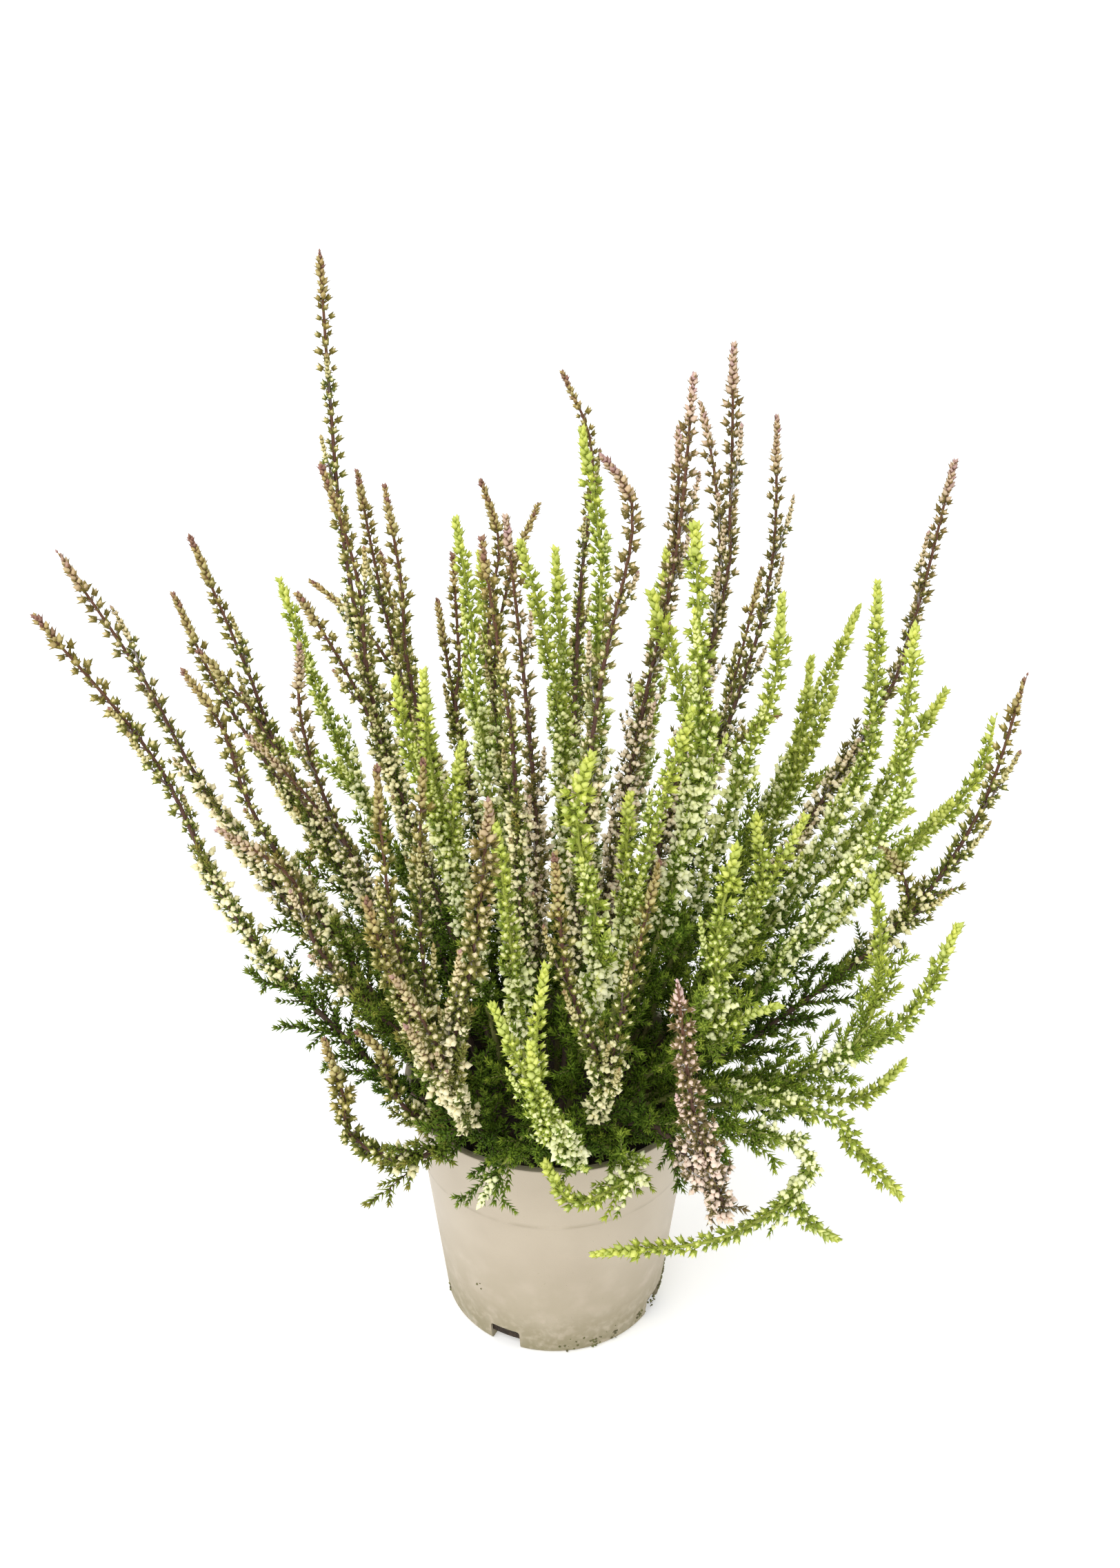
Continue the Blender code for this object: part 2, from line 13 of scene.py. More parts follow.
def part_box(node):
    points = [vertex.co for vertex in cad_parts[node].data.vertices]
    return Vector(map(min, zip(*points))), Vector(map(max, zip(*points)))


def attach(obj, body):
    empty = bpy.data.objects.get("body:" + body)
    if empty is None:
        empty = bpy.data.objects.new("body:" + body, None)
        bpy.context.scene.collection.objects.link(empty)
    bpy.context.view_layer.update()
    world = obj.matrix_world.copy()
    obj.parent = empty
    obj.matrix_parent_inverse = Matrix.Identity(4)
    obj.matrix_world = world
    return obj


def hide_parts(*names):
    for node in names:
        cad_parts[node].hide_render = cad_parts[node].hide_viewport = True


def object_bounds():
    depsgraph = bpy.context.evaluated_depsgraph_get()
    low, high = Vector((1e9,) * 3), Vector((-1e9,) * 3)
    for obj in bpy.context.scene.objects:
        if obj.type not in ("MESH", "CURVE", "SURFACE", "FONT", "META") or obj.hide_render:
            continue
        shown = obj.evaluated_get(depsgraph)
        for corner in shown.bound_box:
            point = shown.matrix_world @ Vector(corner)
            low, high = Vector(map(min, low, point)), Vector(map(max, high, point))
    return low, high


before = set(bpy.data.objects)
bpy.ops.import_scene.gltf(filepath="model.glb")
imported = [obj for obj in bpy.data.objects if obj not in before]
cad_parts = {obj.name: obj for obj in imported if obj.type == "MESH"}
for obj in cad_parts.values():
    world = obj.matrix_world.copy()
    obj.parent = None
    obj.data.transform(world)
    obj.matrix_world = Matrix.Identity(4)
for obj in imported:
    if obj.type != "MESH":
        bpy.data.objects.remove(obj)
cad_box = [list(corner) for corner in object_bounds()]

# The camera stands in front of the plant, a little above its tallest tips, and looks down on
# it. Its place was worked out from the pot's rim and sole.
MM = 0.001
IMAGE_WIDTH, IMAGE_HEIGHT = 1624, 2274
FOCAL_PIXELS = 2600
SENSOR = 36.0
CAMERA_PLACE = Vector((2.3, -572.7, 558.6)) * MM
CAMERA_AIM = Vector((2.3, 0.0, 240.5)) * MM

lens = bpy.data.cameras.new("camera")
lens.sensor_fit = "VERTICAL"
lens.sensor_height = SENSOR
lens.lens = SENSOR * FOCAL_PIXELS / IMAGE_HEIGHT
lens.clip_end = 50
camera = bpy.data.objects.new("camera", lens)
camera.location = CAMERA_PLACE
camera.rotation_euler = (CAMERA_AIM - CAMERA_PLACE).to_track_quat("-Z", "Y").to_euler()
bpy.context.scene.collection.objects.link(camera)
bpy.context.scene.camera = camera


# The nursery pot is one thin shell of taupe plastic, moulded with a rim band, a rolled lip and
# drain notches through its foot. Its lower third is stained by wet benches and a little algae.
POT_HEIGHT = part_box("pot")[1].z
RIM_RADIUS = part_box("pot")[1].x
SOLE_RADIUS = 45.4 * MM
SOLE_ROUND = 1.6 * MM
WALL = 1.3 * MM
FLOOR_TOP = 4.0 * MM
BAND_HEIGHT = 33.0 * MM
BAND_FOOT = POT_HEIGHT - BAND_HEIGHT
BAND_STEP = 1.2 * MM
LIP = 1.6 * MM
LIP_FACE = 0.6 * LIP
PAD_RADIUS = 20.0 * MM
FOOT_WIDTH = 7.5 * MM
RECESS = 2.5 * MM
POT_SEGMENTS = 144
POT_EDGE = math.radians(18)
EDGE_ROUND = 0.32 * MM
SHARP_POT_EDGE = math.radians(40)
SAME_POINT = 0.01 * MM
NOTCHES = 4
NOTCH_WIDTH = 13.0 * MM
NOTCH_HEIGHT = 10.0 * MM
NOTCH_DEPTH = 1.6 * FOOT_WIDTH
NOTCH_ROUND = 1.4 * MM
FIRST_NOTCH = math.radians(-116)
POT_ROUGHNESS = 0.42
TAUPE, DARKER_TAUPE = (0.49, 0.418, 0.312), (0.44, 0.37, 0.272)
STAIN_COLOUR = (0.29, 0.25, 0.15)
ALGAE_COLOUR = (0.17, 0.155, 0.06)
DIRT_COLOUR = (0.25, 0.20, 0.12)
SPECK_COLOUR = (0.22, 0.18, 0.11)
STAINED_BELOW = (58 * MM, 2 * MM)
ALGAE_BELOW = (24 * MM, 0.0)
DIRT_BELOW_BAND = (BAND_FOOT - 2.0 * MM, BAND_FOOT + 0.4 * MM)
DIRT_ON_BAND = (BAND_FOOT + 2.4 * MM, BAND_FOOT + 0.6 * MM)
STAINED_ROUGHNESS = (0.38, 0.72)


def wall_radius(height):
    """The outer radius of the pot's tapered wall, below its rim band."""
    taper = (RIM_RADIUS - LIP - BAND_STEP - SOLE_RADIUS) / POT_HEIGHT
    return SOLE_RADIUS + taper * height


def kept_mesh(name, bm):
    mesh = bpy.data.meshes.new(name)
    bm.to_mesh(mesh)
    bm.free()
    return mesh


def placed(name, data):
    """An object with the given mesh or lamp, linked to the scene."""
    item = bpy.data.objects.new(name, data)
    bpy.context.scene.collection.objects.link(item)
    return item


def finish_piece(name, bm, materials, replaced):
    """Makes the mesh a piece of the root body that stands for the given node."""
    mesh = kept_mesh(name, bm)
    for material in materials:
        mesh.materials.append(material)
    piece = placed(name, mesh)
    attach(piece, "root")
    if replaced:
        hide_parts(replaced)
    return piece


def spun(bm, outline, steps):
    """A round shell: an outline of radii and heights, turned about Z."""
    verts = [bm.verts.new((radius, 0.0, height)) for radius, height in outline]
    edges = [bm.edges.new(pair) for pair in zip(verts, verts[1:])]
    bmesh.ops.spin(
        bm,
        geom=verts + edges,
        axis=(0, 0, 1),
        cent=(0, 0, 0),
        angle=math.tau,
        steps=steps,
        use_merge=True,
    )


def rounded(bm, edges, size, segments):
    bmesh.ops.bevel(
        bm, geom=edges, offset=size, segments=segments, profile=0.5, affect="EDGES", material=-1
    )


def feed(tree, socket, value):
    """Gives an input its plain value, its colour or the output socket that feeds it."""
    if isinstance(value, bpy.types.NodeSocket):
        tree.links.new(value, socket)
    elif isinstance(value, tuple):
        socket.default_value = (*value, 1.0)
    else:
        socket.default_value = value


def add_node(tree, kind, settings=None, **inputs):
    """One shader node, with its settings and what feeds its inputs."""
    made = tree.nodes.new("ShaderNode" + kind)
    for name, value in (settings or {}).items():
        setattr(made, name, value)
    for name, value in inputs.items():
        feed(tree, made.inputs[name.replace("_", " ")], value)
    return made


def reckon(tree, operation, first, second):
    """The result of a sum on two values of a shader."""
    made = add_node(tree, "Math", {"operation": operation})
    feed(tree, made.inputs[0], first)
    feed(tree, made.inputs[1], second)
    return made.outputs[0]


def multiply(tree, first, second):
    return reckon(tree, "MULTIPLY", first, second)


MIX_SHARE, MIX_FIRST, MIX_SECOND, MIX_RESULT = 0, 6, 7, 2


def mix_colours(tree, share, first, second, blend="MIX"):
    """The colour that lies between two others, by a share that may vary over the surface."""
    made = add_node(tree, "Mix", {"data_type": "RGBA", "blend_type": blend})
    feed(tree, made.inputs[MIX_SHARE], share)
    feed(tree, made.inputs[MIX_FIRST], first)
    feed(tree, made.inputs[MIX_SECOND], second)
    return made.outputs[MIX_RESULT]


def make_mottle():
    """A node group: patches of a given size that cover about a given share of a surface."""
    tree = bpy.data.node_groups.new("mottle", "ShaderNodeTree")
    for name, default in (("Size", 0.01), ("Cover", 0.5), ("Softness", 0.1)):
        socket = tree.interface.new_socket(name, in_out="INPUT", socket_type="NodeSocketFloat")
        socket.default_value = default
    tree.interface.new_socket("Mask", in_out="OUTPUT", socket_type="NodeSocketFloat")
    given = tree.nodes.new("NodeGroupInput")
    result = tree.nodes.new("NodeGroupOutput")
    place = add_node(tree, "TexCoord").outputs["Object"]
    scale = reckon(tree, "DIVIDE", 1.0, given.outputs["Size"])
    cloud = add_node(tree, "TexNoise", Vector=place, Scale=scale, Detail=4.0)
    level = reckon(tree, "SUBTRACT", 1.0, given.outputs["Cover"])
    mask = add_node(
        tree,
        "MapRange",
        {"interpolation_type": "SMOOTHSTEP"},
        Value=cloud.outputs[0],
        From_Min=reckon(tree, "SUBTRACT", level, given.outputs["Softness"]),
        From_Max=reckon(tree, "ADD", level, given.outputs["Softness"]),
    )
    tree.links.new(mask.outputs[0], result.inputs["Mask"])
    return tree


mottle = make_mottle()


def add_mottle(tree, size, cover, softness):
    """The mask of one mottle group, placed in a material with its own values."""
    group = tree.nodes.new("ShaderNodeGroup")
    group.node_tree = mottle
    group.inputs["Size"].default_value = size
    group.inputs["Cover"].default_value = cover
    group.inputs["Softness"].default_value = softness
    return group.outputs["Mask"]


def new_material(name, roughness):
    material = bpy.data.materials.new(name)
    material.use_nodes = True
    tree = material.node_tree
    shader = tree.nodes["Principled BSDF"]
    shader.inputs["Roughness"].default_value = roughness
    return material, tree, shader


def add_bump(tree, shader, height, distance, strength=1.0):
    bump = add_node(tree, "Bump", Height=height, Distance=distance, Strength=strength)
    tree.links.new(bump.outputs[0], shader.inputs["Normal"])


def rising(tree, height, start, full):
    """A share that rises from none at one height to all at another."""
    return add_node(tree, "MapRange", Value=height, From_Min=start, From_Max=full).outputs[0]


def pot_plastic():
    """Taupe plastic: faint clouds, water stains and algae near the sole, specks of soil."""
    material, tree, shader = new_material("pot_plastic", POT_ROUGHNESS)
    place = add_node(tree, "TexCoord").outputs["Object"]
    height = add_node(tree, "SeparateXYZ", Vector=place).outputs[2]
    low = rising(tree, height, *STAINED_BELOW)
    foot = rising(tree, height, *ALGAE_BELOW)
    seam = multiply(tree, rising(tree, height, *DIRT_BELOW_BAND), rising(tree, height, *DIRT_ON_BAND))
    colour = mix_colours(tree, add_mottle(tree, 30 * MM, 0.5, 0.25), TAUPE, DARKER_TAUPE)
    stain = multiply(tree, low, add_mottle(tree, 9 * MM, 0.62, 0.2))
    colour = mix_colours(tree, multiply(tree, stain, 0.55), colour, STAIN_COLOUR)
    algae = multiply(tree, foot, add_mottle(tree, 3 * MM, 0.56, 0.12))
    colour = mix_colours(tree, multiply(tree, algae, 0.6), colour, ALGAE_COLOUR)
    dirt = multiply(tree, seam, add_mottle(tree, 12 * MM, 0.55, 0.15))
    colour = mix_colours(tree, multiply(tree, dirt, 0.4), colour, DIRT_COLOUR)
    specks = add_mottle(tree, 1.1 * MM, 0.27, 0.03)
    colour = mix_colours(tree, multiply(tree, specks, 0.5), colour, SPECK_COLOUR)
    tree.links.new(colour, shader.inputs["Base Color"])
    smooth, stained = STAINED_ROUGHNESS
    rough = add_node(tree, "MapRange", Value=stain, To_Min=smooth, To_Max=stained).outputs[0]
    tree.links.new(rough, shader.inputs["Roughness"])
    add_bump(tree, shader, add_mottle(tree, 0.7 * MM, 0.5, 0.4), 0.05 * MM, 0.6)
    return material


def make_pot():
    band_top = POT_HEIGHT - LIP
    foot_inner = SOLE_RADIUS - FOOT_WIDTH
    inner_rim = wall_radius(POT_HEIGHT) + BAND_STEP - WALL
    profile = [
        (0.0, 0.0),
        (PAD_RADIUS, 0.0),
        (PAD_RADIUS + MM, RECESS),
        (foot_inner - MM, RECESS),
        (foot_inner, 0.0),
        (SOLE_RADIUS - SOLE_ROUND, 0.0),
        (SOLE_RADIUS - 0.3 * SOLE_ROUND, 0.25 * SOLE_ROUND),
        (wall_radius(SOLE_ROUND), SOLE_ROUND),
        (wall_radius(BAND_FOOT - BAND_STEP), BAND_FOOT - BAND_STEP),
        (wall_radius(BAND_FOOT) + BAND_STEP, BAND_FOOT),
        (wall_radius(band_top) + BAND_STEP, band_top),
        (RIM_RADIUS, POT_HEIGHT - LIP_FACE),
        (RIM_RADIUS, POT_HEIGHT),
        (inner_rim, POT_HEIGHT),
        (wall_radius(FLOOR_TOP) - WALL, FLOOR_TOP),
        (0.0, FLOOR_TOP),
    ]
    bm = bmesh.new()
    spun(bm, profile, POT_SEGMENTS)
    bmesh.ops.remove_doubles(bm, verts=bm.verts, dist=SAME_POINT)
    bmesh.ops.recalc_face_normals(bm, faces=bm.faces)
    rims = [edge for edge in bm.edges if edge.calc_face_angle(0) > POT_EDGE]
    rounded(bm, rims, EDGE_ROUND, 2)
    pot = finish_piece("nursery_pot", bm, [pot_plastic()], "pot")
    cut_notches(pot)
    pot.data.shade_smooth()
    pot.data.set_sharp_from_angle(angle=SHARP_POT_EDGE)


def cut_notches(pot):
    """The drain notches: round-cornered openings through the foot ring and the wall's foot."""
    bm = bmesh.new()
    for number in range(NOTCHES):
        turn = Matrix.Rotation(FIRST_NOTCH + number * math.tau / NOTCHES, 4, "Z")
        place = Matrix.Translation((SOLE_RADIUS, 0, 0))
        size = Matrix.Diagonal((NOTCH_DEPTH, NOTCH_WIDTH, 2 * NOTCH_HEIGHT, 1))
        bmesh.ops.create_cube(bm, size=1.0, matrix=turn @ place @ size)
    rounded(bm, bm.edges[:], NOTCH_ROUND, 3)
    cutter = placed("notch_cutter", kept_mesh("notch_cutter", bm))
    cut = pot.modifiers.new("drain_notches", "BOOLEAN")
    cut.operation = "DIFFERENCE"
    cut.object = cutter
    shaped = pot.evaluated_get(bpy.context.evaluated_depsgraph_get())
    notched = bpy.data.meshes.new_from_object(shaped)
    pot.modifiers.clear()
    pot.data = notched
    bpy.data.objects.remove(cutter, do_unlink=True)


make_pot()


# Damp benches leave moss and crumbs of soil on the pot's foot, most of all on its right side.
# Each patch has its place round the pot in degrees, its height, and how many crumbs it has.
MOSS_PATCHES = [
    (-6, 11, 24),
    (-10, 9, 40),
    (-15, 6, 34),
    (-28, 5, 14),
    (-40, 5, 16),
    (-57, 4, 9),
    (-68, 3, 16),
    (-79, 7, 4),
    (-84, 3, 5),
    (-130, 30, 4),
    (20, 6, 9),
    (52, 4, 6),
    (83, 5, 8),
    (112, 4, 7),
    (141, 5, 5),
    (168, 4, 8),
    (197, 6, 5),
]
MOSS_SPREAD = (2.0, 2.0 * MM)
MOSS_SIZE = (0.25 * MM, 0.85 * MM)
MOSS_WIDTHS = ((0.5, 1), (0.4, 1))
MOSS_DARK, MOSS_LIGHT = (0.10, 0.085, 0.045), (0.18, 0.19, 0.065)
EARTHY_ROUGHNESS = 0.95
draw = random.Random(5)


def moss_material():
    material, tree, shader = new_material("moss", EARTHY_ROUGHNESS)
    clumps = add_mottle(tree, 2.5 * MM, 0.5, 0.2)
    tree.links.new(mix_colours(tree, clumps, MOSS_DARK, MOSS_LIGHT), shader.inputs["Base Color"])
    return material


def add_crumb(bm, place, size, widths):
    """One grain of a given length, with its two widths as shares of the length."""
    shape = Matrix.Diagonal((size, size * widths[0], size * widths[1], 1))
    bmesh.ops.create_icosphere(bm, subdivisions=1, radius=1.0, matrix=place @ shape)


def make_moss():
    bm = bmesh.new()
    for around, height, count in MOSS_PATCHES:
        for _ in range(count):
            angle = math.radians(around + draw.gauss(0, MOSS_SPREAD[0]))
            level = max(height * MM + draw.gauss(0, MOSS_SPREAD[1]), MOSS_SIZE[1])
            out = wall_radius(level)
            place = Matrix.Translation((out * math.cos(angle), out * math.sin(angle), level))
            size = draw.uniform(*MOSS_SIZE)
            widths = [draw.uniform(*width) for width in MOSS_WIDTHS]
            angle = draw.uniform(0, math.tau)
            turn = Matrix.Rotation(angle, 4, Vector((draw.random(), 1, draw.random())))
            add_crumb(bm, place @ turn, size, widths)
    moss = finish_piece("moss_crumbs", bm, [moss_material()], None)
    moss.data.shade_smooth()


make_moss()


# The peat fills the pot to a finger's width below the rim. It is dark, coarse potting mix, with
# fibres and crumbs on its top, and it closes round the foot of each stem.
PEAT_LOW, PEAT_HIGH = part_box("peat")
PEAT_TOP = PEAT_HIGH.z
GAP = 0.3 * MM
PEAT_RINGS = 22
PEAT_SEGMENTS = 96
RINGS_REACH = 0.97
CLODS = ((6 * MM, 1.6 * MM), (2 * MM, 0.9 * MM))
CRUMBS = 420
CRUMBS_REACH = 0.96
CRUMB_SIZE = (0.5, 1.7)
CRUMB_WIDTHS = ((0.4, 1.0), (0.4, 0.8))
SHARP_CLOD = math.radians(50)
PEAT_DARK, PEAT_LIGHT = (0.012, 0.008, 0.005), (0.045, 0.028, 0.017)
FIBRE_COLOUR = (0.13, 0.085, 0.05)
draw = random.Random(11)


def peat_material():
    material, tree, shader = new_material("peat", EARTHY_ROUGHNESS)
    colour = mix_colours(tree, add_mottle(tree, 4 * MM, 0.5, 0.2), PEAT_DARK, PEAT_LIGHT)
    fibres = add_mottle(tree, 0.8 * MM, 0.36, 0.05)
    colour = mix_colours(tree, multiply(tree, fibres, 0.5), colour, FIBRE_COLOUR)
    tree.links.new(colour, shader.inputs["Base Color"])
    add_bump(tree, shader, add_mottle(tree, 1.2 * MM, 0.5, 0.4), 0.6 * MM)
    return material


def crumbly(place):
    """How far the peat's top stands up or down at a place: small clods on larger ones."""
    return sum(rise * noise.noise(place / width) for width, rise in CLODS)


def make_peat():
    depth = PEAT_TOP - PEAT_LOW.z
    bottom_radius = wall_radius(FLOOR_TOP) - WALL - GAP
    bm = bmesh.new()
    bmesh.ops.create_cone(
        bm,
        cap_ends=True,
        segments=PEAT_SEGMENTS,
        radius1=bottom_radius,
        radius2=PEAT_HIGH.x,
        depth=depth,
        matrix=Matrix.Translation((0, 0, PEAT_LOW.z + depth / 2)),
    )
    top = max(bm.faces, key=lambda face: face.calc_center_median().z)
    for _ in range(PEAT_RINGS):
        bmesh.ops.inset_region(bm, faces=[top], thickness=RINGS_REACH * PEAT_HIGH.x / PEAT_RINGS)
    bmesh.ops.poke(bm, faces=[top])
    for vert in bm.verts:
        out = math.hypot(vert.co.x, vert.co.y)
        if vert.co.z > PEAT_TOP - MM and out < PEAT_HIGH.x - MM:
            vert.co.z += crumbly(vert.co)
    for _ in range(CRUMBS):
        out = PEAT_HIGH.x * CRUMBS_REACH * math.sqrt(draw.random())
        around = draw.uniform(0, math.tau)
        place = Vector((out * math.cos(around), out * math.sin(around), PEAT_TOP))
        place.z += crumbly(place)
        size = draw.uniform(*CRUMB_SIZE) * MM
        widths = [draw.uniform(*width) for width in CRUMB_WIDTHS]
        angle = draw.uniform(0, math.tau)
        turn = Matrix.Rotation(angle, 4, Vector((draw.random(), draw.random(), 1)))
        add_crumb(bm, Matrix.Translation(place) @ turn, size, widths)
    peat = finish_piece("peat_top", bm, [peat_material()], "peat")
    peat.data.shade_smooth()
    peat.data.set_sharp_from_angle(angle=SHARP_CLOD)


make_peat()


# The leaves of a heather are tiny keeled scales, close together on short side twigs. Its buds
# stay closed: each is a pointed bell with bracts. Each part is made once here, in millimetres,
# growing along Z, and is copied onto the stems later with its age, tint and blush.
BARK, LEAF, BUD = range(3)
LAYERS = ("out", "age", "tint", "blush")
UP = Vector((0, 0, 1))
CLOSE = 0.001
RING_TURN, RING_VARIES = 60, (-12, 12)
LEAF_TURN = math.radians(137)
BEND = ((0, 0), (0.5, 0), (0.33, 0.33), (0.18, 0.66), (0, 1))
BELL_WIDTH, BELL_LENGTH = (1.7, 2.1), (2.4, 3.0)
BELL_BRACT = (1.2, 0.6)
BRACT_LENGTH = (1.7, 2.3)
BRACT_DROP = 48
LEAF_WIDTHS = (1.45, 0.8)
TWIG_WIDTH = 0.9
TWIG_BOW, SPRAY_BOW = 0.012, 0.013
LONG_TWIG = 15
SHADES = (-0.15, 0.15)
KNOB_STALK = (1.7, 2.3)
KNOB_HEAD = (1.45, 1.45, 2.35)
KNOB_BRACTS = 4
KNOB_BRACT = (2.2, 1.0)
KNOB_BRACT_LENGTH = (2.3, 2.9)
KNOB_BRACT_LIFT = (46, 66)
CLUSTER_STALK = (3.0, 4.2)
SPRAY_STEP_UP = 1.5
ROSETTE_FOOT = 1.6
ROSETTE_POINT = (1.4, 1.2, 2.2)
BOUGH_LEAF_STEP = 2.1
BOUGH_TWIGS_EACH = 7


def new_growth():
    """An empty mesh whose vertices can hold their place on the plant and their tint."""
    bm = bmesh.new()
    for name in LAYERS:
        bm.verts.layers.float.new(name)
    return bm


def kept(name, bm, material=None):
    """Keeps a small part as a mesh that can be copied onto a sprig."""
    if material is not None:
        bmesh.ops.recalc_face_normals(bm, faces=bm.faces)
        out = bm.verts.layers.float["out"]
        tallest = max(vert.co.z for vert in bm.verts)
        for vert in bm.verts:
            vert[out] = vert.co.z / tallest
        for face in bm.faces:
            face.material_index = material
            face.smooth = True
    return kept_mesh(name, bm)


def turned(name, outline, sides, material):
    """A small round part, one unit long, from its outline."""
    bm = new_growth()
    spun(bm, outline, sides)
    bmesh.ops.remove_doubles(bm, verts=bm.verts, dist=CLOSE)
    return kept(name, bm, material)


def scale_leaf():
    """A keeled scale leaf, one unit long."""
    bm = new_growth()
    bmesh.ops.create_cone(
        bm,
        cap_ends=True,
        segments=3,
        radius1=0.5,
        radius2=0.0,
        depth=1.0,
        matrix=Matrix.Translation((0, 0, 0.5)),
    )
    bmesh.ops.remove_doubles(bm, verts=bm.verts, dist=CLOSE)
    return kept("scale_leaf", bm, LEAF)


leaf = scale_leaf()
bead = turned("bead", [(0, 0), (0.5, 0.42), (0, 1)], 5, BUD)
stalk = turned("stalk", [(0, 0), (0.5, 0), (0, 1)], 3, BARK)
bent_stalk = turned("bent_stalk", BEND, 3, BARK)


def set_copy(bm, part, place, **shifts):
    """Sets a copy of a part on a growing mesh, and shifts its age, tint and blush."""
    first = len(bm.verts)
    bm.from_mesh(part)
    bm.verts.ensure_lookup_table()
    layers = [(bm.verts.layers.float[name], shift) for name, shift in shifts.items()]
    for vert in bm.verts[first:]:
        vert.co = place @ vert.co
        for layer, shift in layers:
            vert[layer] += shift


def growing(foot, heading, side, lift, size):
    """The place of a part on the side of a stem, lifted by an angle in degrees towards its tip."""
    angle = math.radians(lift)
    out = side * math.cos(angle) + heading * math.sin(angle)
    across = heading.cross(side).normalized()
    turn = Matrix((across, out.cross(across), out)).transposed().to_4x4()
    return Matrix.Translation(foot) @ turn @ Matrix.Diagonal((*size, 1.0))


def round_about(angle):
    return Vector((math.cos(angle), math.sin(angle), 0))


def any_turn():
    return draw.uniform(0, math.tau)


def add_bell(bm, height, side, lift, shade):
    """One closed bell that points away from its twig, with a leafy bract below it."""
    foot = height * UP
    wide = draw.uniform(*BELL_WIDTH)
    long = draw.uniform(*BELL_LENGTH)
    set_copy(bm, bead, growing(foot, UP, side, lift, (wide, wide, long)), tint=shade)
    size = (*BELL_BRACT, draw.uniform(*BRACT_LENGTH))
    set_copy(bm, leaf, growing(foot, UP, side, lift - BRACT_DROP, size), tint=shade)


def add_leaves(bm, height, count, turn, lift, reach, age):
    """A ring of scale leaves round a twig."""
    for place in range(count):
        side = round_about(turn + place * math.tau / count)
        size = (*LEAF_WIDTHS, reach * draw.uniform(0.85, 1.15))
        tint = draw.uniform(*SHADES)
        set_copy(bm, leaf, growing(height * UP, UP, side, lift, size), age=age, tint=tint)


def arched(bm, bow):
    """Bends a twig towards the tip of the stem that bears it."""
    for vert in bm.verts:
        vert.co.y += bow * max(vert.co.z, 0) ** 2


def make_knob(number):
    """A young bud in a star of leafy bracts, on a short stalk."""
    bm = new_growth()
    length = draw.uniform(*KNOB_STALK)
    set_copy(bm, stalk, Matrix.Diagonal((0.8, 0.8, length + 1, 1)))
    head = length * UP
    set_copy(bm, bead, growing(head, Vector((1, 0, 0)), UP, 0, KNOB_HEAD), tint=0.1)
    start = any_turn()
    for bract in range(KNOB_BRACTS):
        side = round_about(start + bract * math.tau / KNOB_BRACTS)
        size = (*KNOB_BRACT, draw.uniform(*KNOB_BRACT_LENGTH))
        lift = draw.uniform(*KNOB_BRACT_LIFT)
        set_copy(bm, leaf, growing(head, UP, side, lift, size), tint=draw.uniform(*SHADES))
    add_leaves(bm, 0.4, 1, any_turn(), 45, 2.2, 0)
    return kept(f"knob_{number}", bm)


def make_tuft(number, heads):
    """A few knobs that stand close together, as on a thick shoot."""
    bm = new_growth()
    start = any_turn()
    for place in range(heads):
        side = round_about(start + place * math.tau / heads)
        lift = draw.uniform(48, 66)
        size = draw.uniform(0.85, 1.05)
        set_copy(bm, draw.choice(knobs), growing(0.3 * UP, UP, side, lift, (size, size, size)))
    return kept(f"tuft_{number}", bm)


def make_cluster(number, bells):
    """A short leafy side twig with a few closed bells."""
    length = draw.uniform(*CLUSTER_STALK)
    bm = new_growth()
    set_copy(bm, stalk, Matrix.Diagonal((TWIG_WIDTH, TWIG_WIDTH, length + 0.5, 1)))
    start = any_turn()
    for place in range(bells):
        side = round_about(start + place * math.tau * 0.38)
        height = length * (0.35 + 0.65 * (place + 1) / bells)
        lift = draw.uniform(25, 45) + 35 * place / bells
        add_bell(bm, height, side, lift, draw.uniform(*SHADES))
    add_leaves(bm, 0.25 * length, 3, any_turn(), 40, 2.6, 0)
    add_leaves(bm, 0.8 * length, 1, any_turn(), 50, 2.4, 0)
    return kept(f"cluster_{number}", bm)


def new_twig(length):
    """A bare twig, as a growing mesh. A long one has a stalk that can be arched."""
    bm = new_growth()
    stem = bent_stalk if length > LONG_TWIG else stalk
    set_copy(bm, stem, Matrix.Diagonal((TWIG_WIDTH, TWIG_WIDTH, length, 1)))
    return bm


def make_spray(number, length):
    """A longer side twig: leafy at its foot, with closed bells on the way to its leafy tip."""
    bm = new_twig(length)
    height, turn = 1.0, any_turn()
    while height < length - 1:
        if height < 0.4 * length or draw.random() < 0.25:
            add_leaves(bm, height, 3, turn, 42, 2.7, 0.08)
        else:
            lift = draw.uniform(20, 50)
            add_bell(bm, height, round_about(turn), lift, draw.uniform(*SHADES))
        turn += LEAF_TURN
        height += SPRAY_STEP_UP
    add_leaves(bm, length - 1, 3, turn, 62, 2.2, -0.1)
    arched(bm, SPRAY_BOW)
    return kept(f"spray_{number}", bm)


def make_branchlet(number, length, step=1.7):
    """A side twig packed with scale leaves in threes, with a lighter rosette at its tip."""
    bm = new_twig(length)
    height, turn = 0.8, any_turn()
    while height < length - ROSETTE_FOOT:
        share = height / length
        reach = 1.95 * step - 0.6 * share
        add_leaves(bm, height, 3, turn, 38 + 14 * share, reach, -0.15 * share)
        turn += math.radians(RING_TURN + draw.uniform(*RING_VARIES))
        height += step
    add_leaves(bm, length - ROSETTE_FOOT, 4, turn, 54, 2.6, -0.25)
    point = Matrix.Translation((length - 1.4) * UP) @ Matrix.Diagonal((*ROSETTE_POINT, 1))
    set_copy(bm, leaf, point, age=-0.3)
    arched(bm, TWIG_BOW)
    return kept(f"branchlet_{number}", bm)


